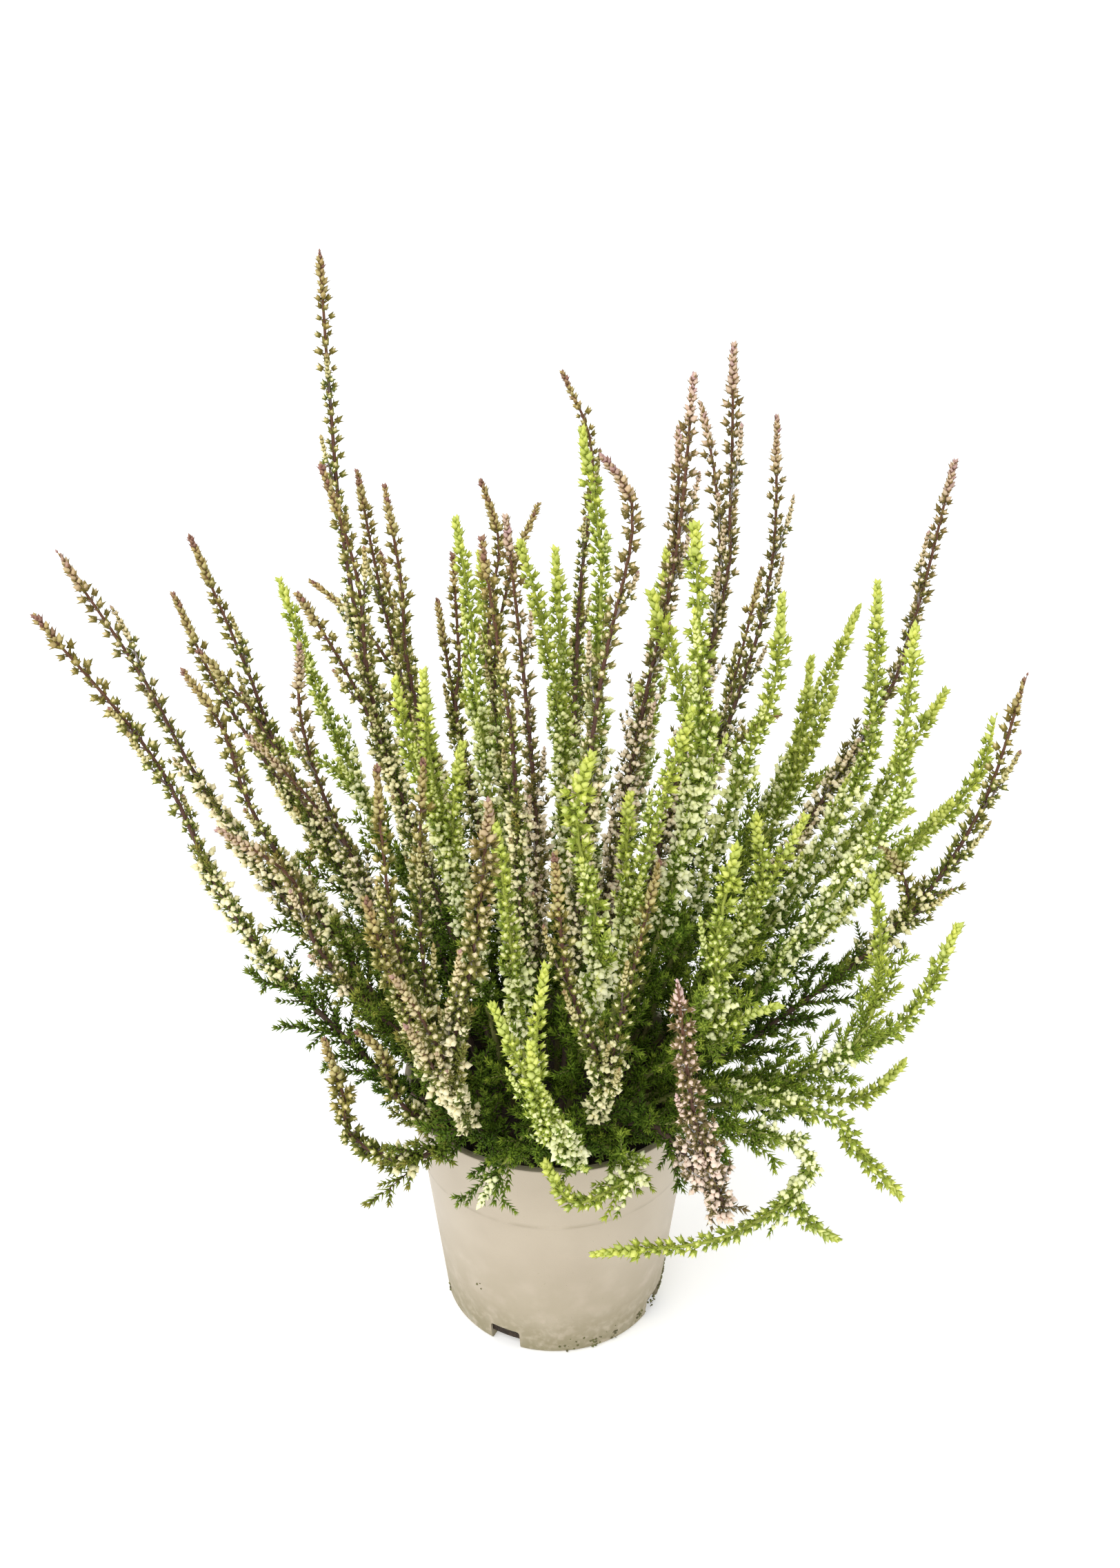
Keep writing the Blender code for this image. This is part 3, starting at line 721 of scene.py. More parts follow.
def make_bough(number, length):
    """A long leafy side twig with shorter twigs of its own."""
    bm = new_growth()
    bm.from_mesh(make_branchlet(number, length, BOUGH_LEAF_STEP))
    turn = any_turn()
    count = round(length / BOUGH_TWIGS_EACH)
    for place in range(count):
        height = (0.22 + 0.55 * place / (count - 1)) * length
        foot = Vector((0, TWIG_BOW * height**2, height))
        twig = growing(foot, UP, round_about(turn), 48, (0.9, 0.9, 0.9))
        set_copy(bm, draw.choice(branchlets[:2]), twig)
        turn += LEAF_TURN
    return kept(f"bough_{number}", bm)


knobs = [make_knob(number) for number in range(6)]
tufts = [make_tuft(number, heads) for number, heads in enumerate((2, 3, 3, 4))]
clusters = [make_cluster(number, bells) for number, bells in enumerate((2, 3, 3, 4, 4, 4))]
sprays = [make_spray(number, length) for number, length in enumerate((11, 14, 17))]
branchlets = [make_branchlet(number, length) for number, length in enumerate((7, 9, 11, 13))]
boughs = [make_bough(number + 4, length) for number, length in enumerate((17, 21, 25))]
long_boughs = [make_bough(number + 7, length) for number, length in enumerate((29, 33))]


# The foliage colours change with age, from the growing tip down to the foot: the bronze plant from
# mauve-brown over olive to dark green, the lime plant from yellow-green to dark green. The dark green
# at the foot is partly older foliage and partly painted shade for the deep inside of the bush.
# The bells are pink-cream on the bronze plant and white on the lime plant. Each material has the
# strength of the painted highlight on the points of its leaves and buds, its blushed colour, and its
# colours by age: both ends, then between.
LEAF_ROUGHNESS = 0.65
LEAF_SHINE = 0.18
TINTED = {"From_Min": -0.5, "From_Max": 0.5}
BLUSH_STRENGTH = 0.6
# The colour of the painted highlight that lightens the points of leaves and buds.
PAINTED_HIGHLIGHT = (1.0, 1.0, 0.82)
NO_BLUSH = (1.0, 1.0, 1.0)
COLOURS = {
    "bronze": {
        "bark": (
            0.0,
            NO_BLUSH,
            [(0.0, (0.18, 0.085, 0.045)), (1.0, (0.15, 0.105, 0.085)), (0.3, (0.12, 0.06, 0.045))],
        ),
        "leaf": (
            0.5,
            (0.20, 0.118, 0.072),
            [
                (0.0, (0.17, 0.07, 0.045)),
                # darkest at the foot: older foliage, darkened further as painted shade
                (1.0, (0.052, 0.102, 0.005)),
                (0.025, (0.24, 0.18, 0.038)),
                (0.18, (0.22, 0.21, 0.040)),
                (0.38, (0.165, 0.205, 0.028)),
                (0.58, (0.095, 0.162, 0.012)),
            ],
        ),
        "bud": (
            0.4,
            (0.88, 0.60, 0.63),
            [
                (0.0, (0.20, 0.09, 0.055)),
                (1.0, (0.88, 0.88, 0.38)),
                (0.025, (0.34, 0.26, 0.07)),
                (0.12, (0.54, 0.48, 0.18)),
                (0.34, (0.86, 0.79, 0.40)),
                (0.52, (1.0, 0.94, 0.52)),
            ],
        ),
    },
    "lime": {
        "bark": (
            0.0,
            NO_BLUSH,
            [(0.0, (0.45, 0.52, 0.08)), (1.0, (0.11, 0.08, 0.04)), (0.6, (0.42, 0.44, 0.14))],
        ),
        "leaf": (
            0.45,
            NO_BLUSH,
            [
                (0.0, (0.46, 0.53, 0.065)),
                # darkest at the foot: older foliage, darkened further as painted shade
                (1.0, (0.048, 0.098, 0.004)),
                (0.12, (0.40, 0.48, 0.065)),
                (0.34, (0.27, 0.36, 0.042)),
                (0.56, (0.115, 0.19, 0.013)),
            ],
        ),
        "bud": (
            0.4,
            NO_BLUSH,
            [
                (0.0, (0.56, 0.62, 0.12)),
                (1.0, (0.92, 0.95, 0.45)),
                (0.12, (0.62, 0.68, 0.20)),
                (0.34, (0.90, 0.93, 0.44)),
                (0.50, (1.0, 1.0, 0.60)),
            ],
        ),
    },
}


def grown_value(tree, layer):
    """What the vertices keep in one of their layers."""
    return add_node(tree, "Attribute", {"attribute_name": layer}).outputs["Fac"]


def make_variation():
    """A node group: a colour with a painted highlight towards the point of each leaf and bud, and
    varied by tint.
    """
    tree = bpy.data.node_groups.new("variation", "ShaderNodeTree")
    for name, kind in (("Color", "Color"), ("Point Highlight", "Float"), ("Blushed", "Color")):
        tree.interface.new_socket(name, in_out="INPUT", socket_type="NodeSocket" + kind)
    tree.interface.new_socket("Color", in_out="OUTPUT", socket_type="NodeSocketColor")
    given = tree.nodes.new("NodeGroupInput")
    result = tree.nodes.new("NodeGroupOutput")
    tint = grown_value(tree, "tint")
    light = add_node(tree, "MapRange", Value=tint, **TINTED, To_Min=0.72, To_Max=1.28).outputs[0]
    hue = add_node(tree, "MapRange", Value=tint, **TINTED, To_Min=0.515, To_Max=0.485).outputs[0]
    varied = add_node(tree, "HueSaturation", Hue=hue, Value=light, Color=given.outputs["Color"])
    blush = multiply(tree, grown_value(tree, "blush"), BLUSH_STRENGTH)
    pinker = mix_colours(tree, blush, varied.outputs[0], given.outputs["Blushed"])
    # Painted highlight: the outer end of each leaf and bud is mixed towards a light colour.
    out = grown_value(tree, "out")
    share = multiply(tree, out, given.outputs["Point Highlight"])
    lighter = mix_colours(tree, share, pinker, PAINTED_HIGHLIGHT, "SOFT_LIGHT")
    tree.links.new(lighter, result.inputs["Color"])
    return tree


variation = make_variation()


def grown_material(name, point_highlight, blushed, stops):
    """A material whose colour follows the age of the growth, by colour stops from tip to foot; the
    darkest stops at the foot also hold painted shade.
    """
    material, tree, shader = new_material(name, LEAF_ROUGHNESS)
    shader.inputs["Specular IOR Level"].default_value = LEAF_SHINE
    ramp = add_node(tree, "ValToRGB", Fac=grown_value(tree, "age"))
    elements = ramp.color_ramp.elements
    for place, (share, colour) in enumerate(stops):
        element = elements[place] if place < 2 else elements.new(share)
        element.position = share
        element.color = (*colour, 1.0)
    group = tree.nodes.new("ShaderNodeGroup")
    group.node_tree = variation
    group.inputs["Point Highlight"].default_value = point_highlight
    group.inputs["Blushed"].default_value = (*blushed, 1.0)
    tree.links.new(ramp.outputs[0], group.inputs["Color"])
    tree.links.new(group.outputs["Color"], shader.inputs["Base Color"])
    if name.endswith("bark"):
        add_bump(tree, shader, add_mottle(tree, 0.6 * MM, 0.5, 0.3), 0.1 * MM)
    return material


MATERIALS = {
    plant: [grown_material(f"{plant}_{part}", *look) for part, look in looks.items()]
    for plant, looks in COLOURS.items()
}


# Each leafy shoot stands in the peat and fans out from the crown of its plant. A row has the
# plant, how thick the shoot is, the points that its stem passes on the way to its tip, and its
# side sprigs, each as the share of the way up and its own tip. All in millimetres.
SHOOTS = [
    ("bronze", 5.0, [(-107, -32, 197), (-134, -38, 271), (-165, -48, 329)], []),
    ("bronze", 5.5, [(-123, 10, 221), (-151, 22, 274), (-178, 28, 321)], []),
    ("bronze", 5.0, [(-99, 34, 218), (-118, 50, 264), (-137, 62, 313)], [(0.62, (-134, 42, 275))]),
    ("bronze", 5.0, [(-100, -22, 227), (-113, -26, 276), (-124, -30, 301)], []),
    ("bronze", 4.5, [(-76, -4, 215), (-90, 0, 263), (-88, -5, 299)], [(0.55, (-111, 5, 257))]),
    ("bronze", 5.5, [(-81, -40, 188), (-92, -40, 225), (-115, -45, 248)], []),
    ("bronze", 3.8, [(-62, 34, 240), (-76, 48, 313), (-80, 58, 369), (-81, 62, 419)], []),
    ("bronze", 4.5, [(-63, 8, 252), (-69, 12, 316), (-79, 12, 358)], [(0.5, (-88, -12, 321))]),
    ("bronze", 4.2, [(-60, 62, 259), (-69, 76, 296), (-75, 84, 331)], [(0.6, (-96, 88, 284))]),
    ("bronze", 4.5, [(-52, 28, 258), (-56, 38, 302), (-61, 42, 340)], []),
    ("bronze", 4.2, [(-38, 56, 227), (-38, 70, 255), (-40, 84, 297)], [(0.6, (-48, 92, 274))]),
    ("lime", 4.5, [(-28, 20, 262), (-30, 30, 290), (-35, 34, 330)], []),
    ("bronze", 4.5, [(-26, 74, 253), (-22, 92, 296), (-29, 100, 321)], [(0.6, (-7, 112, 307))]),
    ("bronze", 4.5, [(-11, -30, 257), (-16, -32, 303), (-22, -34, 350)], []),
    ("bronze", 4.5, [(-5, -22, 220), (-10, -14, 285), (-16, -10, 347)], []),
    ("lime", 4.8, [(5, 12, 240), (3, 22, 277), (1, 30, 320)], [(0.55, (-11, 10, 330))]),
    ("bronze", 3.6, [(8, 72, 230), (10, 88, 277), (15, 104, 330), (3, 110, 362)], []),
    ("lime", 5.2, [(14, 24, 220), (16, 34, 272), (17, 48, 313), (10, 56, 356)], []),
    ("bronze", 5.0, [(13, -34, 275), (25, -36, 350), (21, -36, 370), (15, -36, 377)], []),
    ("bronze", 4.8, [(27, -6, 250), (40, 0, 332), (44, 0, 392)], [(0.72, (40, 13, 370))]),
    ("bronze", 5.0, [(61, 42, 284), (65, 54, 326), (64, 60, 386)], [(0.6, (56, 92, 355))]),
    ("bronze", 4.5, [(73, 66, 239), (86, 86, 291), (86, 100, 347)], []),
    ("lime", 6.0, [(51, -24, 244), (50, -28, 301), (46, -30, 353)], [(0.5, (35, 0, 316))]),
    ("lime", 5.2, [(66, -8, 245), (77, -6, 282), (78, -6, 317)], []),
    ("lime", 5.2, [(89, 56, 187), (99, 68, 221), (103, 78, 255)], [(0.6, (112, 62, 248))]),
    ("lime", 5.2, [(112, 22, 221), (120, 30, 257), (118, 34, 306)], []),
    ("lime", 5.2, [(115, -22, 230), (121, -22, 268), (121, -24, 314)], []),
    ("bronze", 5.0, [(122, 44, 240), (138, 58, 280), (150, 72, 339)], []),
    ("bronze", 5.5, [(120, -10, 175), (155, 0, 224), (171, 12, 280)], [(0.5, (116, -15, 224))]),
    ("lime", 5.2, [(122, 24, 180), (162, 36, 220), (171, 46, 247)], [(0.5, (147, 6, 229))]),
    ("lime", 5.2, [(102, -45, 150), (130, -40, 166), (145, -35, 202)], [(0.5, (111, -30, 220))]),
    # low shoots that lean out over the rim, from right to left
    ("lime", 4.8, [(58, -26, 122), (106, -42, 125), (119, -42, 130), (129, -42, 144)], []),
    ("lime", 4.8, [(60, -36, 124), (103, -58, 130), (111, -60, 119), (131, -58, 94)], []),
    (
        "lime",
        5.0,
        [(60, -48, 126), (90, -54, 121), (86, -64, 106), (58, -80, 97), (14, -92, 100)],
        [(0.55, (105, -62, 83))],
    ),
    (
        "bronze",
        5.8,
        [(40, -58, 122), (60, -88, 114), (54, -96, 140), (46, -108, 178), (38, -122, 240)],
        [],
    ),
    ("lime", 5.0, [(35, -62, 120), (25, -74, 118), (9, -82, 117), (-2, -84, 136)], []),
    (
        "bronze",
        6.0,
        [(-49, -62, 114), (-73, -62, 126), (-76, -60, 146), (-82, -58, 169)],
        [],
    ),
    ("bronze", 5.5, [(-45, -52, 119), (-58, -50, 136), (-62, -48, 153), (-71, -45, 161)], []),
    # the front of the bush
    ("lime", 5.8, [(56, -50, 164), (57, -55, 209), (62, -55, 247)], [(0.4, (81, -60, 181))]),
    ("lime", 6.5, [(16, -60, 202), (8, -65, 262), (13, -65, 288)], []),
    ("lime", 4.8, [(25, -33, 200), (25, -35, 228), (26, -38, 258)], [(0.6, (45, -40, 292))]),
    ("lime", 5.0, [(72, -20, 199), (72, -20, 239)], [(0.5, (89, -20, 240))]),
    (
        "bronze",
        5.8,
        [(-37, -65, 148), (-52, -75, 200), (-61, -75, 238)],
        [(0.35, (-57, -55, 269)), (0.3, (-43, -40, 263))],
    ),
    (
        "bronze",
        6.2,
        [(-35, -75, 163), (-25, -90, 238), (-20, -90, 285)],
        [(0.42, (-52, -90, 222)), (0.34, (-48, -92, 204))],
    ),
    (
        "lime",
        5.0,
        [(9, -82, 138), (-3, -100, 166), (-7, -105, 203)],
        [(0.5, (-18, -95, 212)), (0.6, (-1, -90, 223))],
    ),
    ("bronze", 5.0, [(15, -70, 162), (4, -75, 209), (0, -75, 257)], [(0.4, (34, -40, 236))]),
    (
        "lime",
        5.0,
        [(-40, -20, 230), (-50, -18, 261), (-55, -15, 290)],
        [(0.6, (-44, -25, 298)), (0.5, (-31, -25, 271))],
    ),
    ("lime", 5.0, [(-13, -62, 205), (-19, -60, 259)], [(0.12, (-30, -79, 123))]),
    # the back, which the photograph doesn't show
    ("bronze", 5.2, [(-95, 48, 190), (-130, 66, 240), (-150, 80, 282)], [(0.5, (-128, 92, 232))]),
    ("lime", 5.2, [(-78, 76, 190), (-100, 100, 236), (-114, 118, 272)], [(0.5, (-130, 100, 205))]),
    ("bronze", 5.2, [(-48, 84, 190), (-64, 118, 240), (-74, 138, 276)], [(0.5, (-84, 140, 214))]),
    ("lime", 5.2, [(-20, 92, 186), (-28, 126, 232), (-32, 146, 272)], [(0.5, (-44, 150, 206))]),
    ("bronze", 5.2, [(6, 98, 186), (10, 132, 230), (12, 152, 262)], [(0.5, (24, 140, 250))]),
    ("lime", 5.2, [(36, 92, 186), (44, 124, 236), (48, 142, 276)], [(0.5, (38, 152, 208))]),
    ("bronze", 5.2, [(60, 84, 186), (78, 116, 236), (88, 136, 270)], [(0.5, (98, 124, 206))]),
    ("lime", 5.2, [(84, 74, 180), (110, 98, 226), (126, 112, 262)], [(0.5, (128, 84, 200))]),
    ("lime", 5.2, [(110, 48, 172), (138, 66, 210), (158, 78, 240)], [(0.5, (150, 80, 182))]),
    ("bronze", 5.2, [(-96, 62, 140), (-128, 78, 156), (-146, 86, 186)], [(0.5, (-104, 98, 160))]),
]

HOLE_DEPTH = 9.0 * MM
HOLE_PULL = 0.36
PLANTED_RADIUS = 45.0 * MM
STEM_RADIUS = 0.95 * MM
STEM_ROOM = 2.0 * MM
BARE_FOOT = 12.0 * MM
LEAFY_BY = 40.0 * MM
TIP_REACH = 0.4
TIP_LENGTH = 45.0 * MM
SLIM_TIP = 0.1 * TIP_LENGTH
LOW_FULLNESS = 0.65
FULLER_FROM = (80 * MM, 150 * MM)
SIDE_FULLNESS = 0.9
SIDE_BEND = 0.45
CURVE_STEPS = 24
STATIONS = 32
SIDE_STATIONS = 8
BEND_ROUNDS = 240
PAIRED_FOR = 12
PAIR_MARGIN = 8.0 * MM
PUSH = 0.3
RIM_ROOM = 5.0 * MM
INNER_ROOM = 7.0 * MM
EASY_WAY = np.array([0.6, 1.0, 0.4])
SMALLEST_GAP = 1e-6
SMALLEST_RADIUS = 1e-9


def along(points):
    """How far each point lies from the first one, measured along the route."""
    steps = np.sqrt(((points[1:] - points[:-1]) ** 2).sum(axis=1))
    return np.concatenate([[0.0], np.cumsum(steps)])


def even_steps(points, count):
    length = along(points)
    wanted = np.linspace(0, length[-1], count)
    return np.stack([np.interp(wanted, length, points[:, axis]) for axis in range(3)], axis=1)


def smooth_route(points, count):
    """Points at even steps along a smooth curve through the given points."""
    given = np.array(points, dtype=float)
    ends = np.vstack([2 * given[0] - given[1], given, 2 * given[-1] - given[-2]])
    fine = []
    for first, start, stop, last in zip(ends, ends[1:], ends[2:], ends[3:]):
        for share in np.linspace(0, 1, CURVE_STEPS, endpoint=False):
            slope_in = (stop - first) / 2
            slope_out = (last - start) / 2
            turn = share * share * (3 - 2 * share)
            bow_in = share * (1 - share) ** 2
            bow_out = share * share * (share - 1)
            fine.append(start + turn * (stop - start) + bow_in * slope_in + bow_out * slope_out)
    fine.append(given[-1])
    return even_steps(np.array(fine), count)


def main_route(points):
    """From the peat to the tip. The stem's foot lies below the shoot's lower stretch."""
    lowest = np.array(points[0][:2]) * MM * HOLE_PULL
    out = math.hypot(*lowest)
    if out > PLANTED_RADIUS:
        lowest = lowest * PLANTED_RADIUS / out
    foot = (*lowest, PEAT_TOP)
    return smooth_route([foot] + [tuple(value * MM for value in point) for point in points], STATIONS)


def side_route(main, share, tip):
    """A side sprig leaves along the stem that bears it, then bends out to its own tip."""
    root = round(share * (STATIONS - 1))
    start = main[root]
    end = np.array(tip) * MM
    heading = main[root + 1] - main[root - 1]
    heading = heading / math.sqrt((heading**2).sum())
    reach = math.sqrt(((end - start) ** 2).sum())
    bend = start + heading * SIDE_BEND * reach
    share = np.linspace(0, 1, CURVE_STEPS)[:, None]
    curve = (1 - share) ** 2 * start + 2 * share * (1 - share) * bend + share**2 * end
    return root, even_steps(curve, SIDE_STATIONS)


def ramp(value, start, stop):
    share = np.clip((value - start) / (stop - start), 0.0, 1.0)
    return share * share * (3 - 2 * share)


def foliage_reach(leafy, from_foot, from_tip):
    """How far the foliage stands out: none at the bare foot, most low down, least at the tip."""
    foot = ramp(from_foot, BARE_FOOT, LEAFY_BY)
    tip = TIP_REACH + (1 - TIP_REACH) * ramp(from_tip, SLIM_TIP, TIP_LENGTH)
    low = 1 + LOW_FULLNESS * ramp(from_tip, *FULLER_FROM)
    return leafy * MM * foot * tip * low


def bend_clear(mains, sides, reaches):
    """Bends each stem clear of the others' foliage, mostly in depth, and of the pot's rim."""
    places, owners, shoots, needs = [], [], [], []
    for number, main in enumerate(mains):
        places.append(main)
        owners.append(np.arange(STATIONS) + number * STATIONS)
        shoots.append(np.full(STATIONS, number))
        needs.append(reaches[number][0])
        for (root, side), need in zip(sides[number], reaches[number][1:]):
            places.append(side)
            owners.append(np.full(SIDE_STATIONS, number * STATIONS + root))
            shoots.append(np.full(SIDE_STATIONS, number))
            needs.append(need)
    places, owners = np.concatenate(places), np.concatenate(owners)
    shoots, needs = np.concatenate(shoots), np.maximum(np.concatenate(needs), STEM_ROOM) + STEM_RADIUS
    shift = np.zeros((len(mains) * STATIONS, 3))
    for attempt in range(BEND_ROUNDS):
        if attempt % PAIRED_FOR == 0:
            first, second = near_pairs(places + shift[owners], shoots, needs)
        now = places + shift[owners]
        push = np.zeros_like(shift)
        apart = now[first] - now[second]
        gap = np.sqrt((apart**2).sum(axis=1)) + SMALLEST_GAP
        short = np.maximum(needs[first] + needs[second] + 2 * GAP - gap, 0)
        step = PUSH * short[:, None] * apart / gap[:, None] * EASY_WAY
        np.add.at(push, owners[first], step)
        np.add.at(push, owners[second], -step)
        np.add.at(push, owners, PUSH * clear_of_pot(now, needs))
        shift = evened(shift + push)
    return shift.reshape(len(mains), STATIONS, 3)


def near_pairs(places, shoots, needs):
    apart = ((places[:, None] - places[None]) ** 2).sum(axis=2)
    close = needs[:, None] + needs[None] + PAIR_MARGIN
    found = (apart < close**2) & (shoots[:, None] < shoots[None])
    return np.nonzero(found)


def clear_of_pot(places, needs):
    """The push that keeps foliage off the rim and off both sides of the wall below it."""
    out = np.hypot(places[:, 0], places[:, 1]) + SMALLEST_RADIUS
    outward = places[:, :2] / out[:, None]
    rim_out = out - RIM_RADIUS + LIP
    rim_up = places[:, 2] - POT_HEIGHT
    rim_gap = np.hypot(rim_out, rim_up) + SMALLEST_RADIUS
    short = np.maximum(needs + RIM_ROOM - rim_gap, 0)
    push = np.zeros_like(places)
    push[:, :2] += outward * (short * rim_out / rim_gap)[:, None]
    push[:, 2] += short * np.abs(rim_up) / rim_gap
    low = places[:, 2] < POT_HEIGHT
    inside = low & (out < RIM_RADIUS - LIP)
    outside = low & ~inside
    too_far_out = inside * np.maximum(out + needs - PLANTED_RADIUS - INNER_ROOM, 0)
    too_far_in = outside * np.maximum(RIM_RADIUS + MM + needs - out, 0)
    push[:, :2] -= outward * too_far_out[:, None]
    push[:, :2] += outward * too_far_in[:, None]
    return push


def evened(shift):
    """Each stem's shifts, evened out along it. Its foot stays on the peat."""
    rows = shift.reshape(-1, STATIONS, 3)
    padded = np.concatenate([rows[:, :1], rows, rows[:, -1:]], axis=1)
    rows = 0.5 * rows + 0.25 * (padded[:, :-2] + padded[:, 2:])
    rows[:, 0, 2] = 0
    return rows.reshape(-1, 3)


def settled_shoots():
    """The route of every stem and side sprig, bent clear of the others."""
    mains, sides, reaches = [], [], []
    for plant, leafy, points, tips in SHOOTS:
        main = main_route(points)
        forks = [side_route(main, share, tip) for share, tip in tips]
        length = along(main)
        reach = [foliage_reach(leafy, length, length[-1] - length)]
        for root, side in forks:
            length = along(side)
            reach.append(foliage_reach(SIDE_FULLNESS * leafy, BARE_FOOT + length, length[-1] - length))
        mains.append(main)
        sides.append(forks)
        reaches.append(reach)
    shifts = bend_clear(mains, sides, reaches)
    mains = [main + shift for main, shift in zip(mains, shifts)]
    moved = []
    for forks, shift in zip(sides, shifts):
        moved.append([(root, side + shift[root]) for root, side in forks])
    return mains, moved


# A sprig is a thin woody stem. From its tip down it bears a tight spike of young buds, then
# pairs of stalked knobs, then pairs of bell clusters, and at last leafy side twigs. Each pair
# stands at a right angle to the next.
SPIKE = {"bronze": 19 * MM, "lime": 15 * MM}
SPIKE_SHARE = 0.4
SPIKE_VARIES = (0.75, 1.25)
SPIKE_WIDTH = {"bronze": (1.0, 0.85), "lime": (1.35, 0.75)}
SPIKE_STEP = (1.15 * MM, 1.9 * MM)
SPIKE_LIFT = (68, 44)
TIP_BUD = (1.1, 1.1, 1.8)
KNOBS_TO = {"bronze": 0.42, "lime": 0.33}
KNOB_SIZE, KNOB_LIFT = 1.2, 38
KNOB_STEP = {"bronze": 2.6 * MM, "lime": 2.1 * MM}
AIRY_STEP = 3.6 * MM
AIRY_FROM = 235 * MM
AIRY_SIDE = -75 * MM
TUFTS_FROM = 5.7
TUFT_STEP, TUFT_LIFT = 4.5 * MM, 30
BELLS_TO = {"bronze": 0.70, "lime": 0.68}
LOW_BELLS_TO = 0.5
BELL_STEP = 2.75 * MM
CLUSTER_SIZE, CLUSTER_LIFT = 1.12, 38
SPRAY_STEP = {"bronze": 4.4 * MM, "lime": 7.0 * MM}
SPRAY_LIFT = 55
SPRIG_FROM = 55.0 * MM
SPRIG_STEP = 24.0 * MM
SPRIG_LIFT = (68, 76)
SPRIG_AGE = 0.25
SPRIG_BUD = 1.5
SPRIG_TURN = math.radians(100)
SPRIG_BOW = 0.006
TWIG_STEP, TWIG_LIFT = 4.2 * MM, 50
BOUGH_STEP, BOUGH_LIFT = 11.5 * MM, 48
DROOPING = (40 * MM, 105 * MM)
HEART_RADIUS = 40 * MM
HEART_TOP = 145 * MM
HEART_STEP = 2.0
LEAFY_UNDER = (150 * MM, 185 * MM)
TALL_FROM = 200 * MM
STEEP = 0.73
UPRIGHT = 0.6
BUSH_FRONT = -50 * MM
AGE_VARIES = (-0.05, 0.05)
QUARTER_TURN = math.pi / 2
STEM_SIDES = 5
STEM_TIP = 0.45 * MM
STEM_THICKNESS = 1.3
STEM_TAPER = 1.5
BOX_LOW, BOX_HIGH = (Vector(corner) for corner in cad_box)
BOX_ROOM = 0.3 * MM
SMALLER = 0.75
SMALLER_TRIES = 4


def stem_walk(route):
    """Even stations along a route, each with its place, heading and a sideways direction."""
    points = [Vector(point) for point in route]
    walk = []
    side = None
    for number, point in enumerate(points):
        after = points[min(number + 1, len(points) - 1)]
        before = points[max(number - 1, 0)]
        heading = (after - before).normalized()
        if side is None:
            side = heading.orthogonal()
        side = (side - heading * side.dot(heading)).normalized()
        walk.append((point, heading, side))
    return walk


def place_on(walk, length, distance):
    """The place, heading and sideways direction at a distance along the stem."""
    share = min(max(distance / length, 0.0), 0.9999) * (len(walk) - 1)
    number = int(share)
    share -= number
    point, heading, side = (a.lerp(b, share) for a, b in zip(walk[number], walk[number + 1]))
    heading.normalize()
    side = (side - heading * side.dot(heading)).normalized()
    return point, heading, side


def add_stem(bm, walk, foot_radius, foot_age):
    """A tapering stem, extruded ring by ring from its foot to its tip."""
    age_layer = bm.verts.layers.float["age"]
    rim = []
    last = None
    for number, (point, heading, side) in enumerate(walk):
        share = number / (len(walk) - 1)
        radius = foot_radius + (STEM_TIP - foot_radius) * share**STEM_TAPER
        turn = Matrix((side, heading.cross(side), heading)).transposed().to_4x4()
        seat = Matrix.Translation(point) @ turn @ Matrix.Scale(radius, 4)
        if not rim:
            verts = bmesh.ops.create_circle(
                bm, cap_ends=True, segments=STEM_SIDES, radius=1.0, matrix=seat
            )["verts"]
            rim = list({edge for vert in verts for edge in vert.link_edges})
        else:
            made = bmesh.ops.extrude_edge_only(bm, edges=rim)["geom"]
            verts = [item for item in made if isinstance(item, bmesh.types.BMVert)]
            rim = [
                item
                for item in made
                if isinstance(item, bmesh.types.BMEdge) and all(vert in verts for vert in item.verts)
            ]
            change = seat @ last.inverted()
            for vert in verts:
                vert.co = change @ vert.co
        last = seat
        for vert in verts:
            vert[age_layer] = foot_age * (1 - share)
    bmesh.ops.pointmerge(bm, verts=verts, merge_co=walk[-1][0])
    bmesh.ops.recalc_face_normals(bm, faces=bm.faces)
    for face in bm.faces:
        face.smooth = True


def has_room(foot, tip, width):
    """Whether a part stays inside the plant's outline and clear of the pot and the peat."""
    room = BOX_ROOM + width
    if any(not low + room < value < high - room for low, value, high in zip(BOX_LOW, tip, BOX_HIGH)):
        return False
    if min(tip.z, foot.z) > POT_HEIGHT + width:
        return True
    out = math.hypot(tip.x, tip.y)
    if math.hypot(foot.x, foot.y) > RIM_RADIUS:
        return out > RIM_RADIUS + width
    return out < wall_radius(tip.z) - WALL - width and tip.z > PEAT_TOP + width


def add_part(bm, part, spot, angle, lift, size, age, blush):
    """One part on the side of the stem. It grows smaller where there is no room for it."""
    point, heading, side = spot
    out = Matrix.Rotation(angle, 3, heading) @ side
    length = max(vert.co.z for vert in part.vertices)
    for _ in range(SMALLER_TRIES):
        place = growing(point, heading, out, lift, (size, size, size))
        if has_room(point, place @ (length * UP), size):
            shade = draw.uniform(-0.3, 0.3)
            set_copy(bm, part, place, age=age + draw.uniform(-0.03, 0.03), tint=shade, blush=blush)
            return
        size *= SMALLER


def add_pair(bm, parts, spot, turn, lift, size, age, blush):
    """Two like parts on opposite sides of the stem."""
    for half in (0, math.pi):
        angle = turn + half + draw.uniform(-0.25, 0.25)
        scale = size * draw.uniform(0.78, 1.2)
        add_part(bm, draw.choice(parts), spot, angle, lift + draw.uniform(-9, 9), scale, age, blush)


def between(ends, share):
    return ends[0] + (ends[1] - ends[0]) * share


def join(bm, other):
    """Adds one growing mesh to another."""
    mesh = kept_mesh("joined", other)
    bm.from_mesh(mesh)
    bpy.data.meshes.remove(mesh)


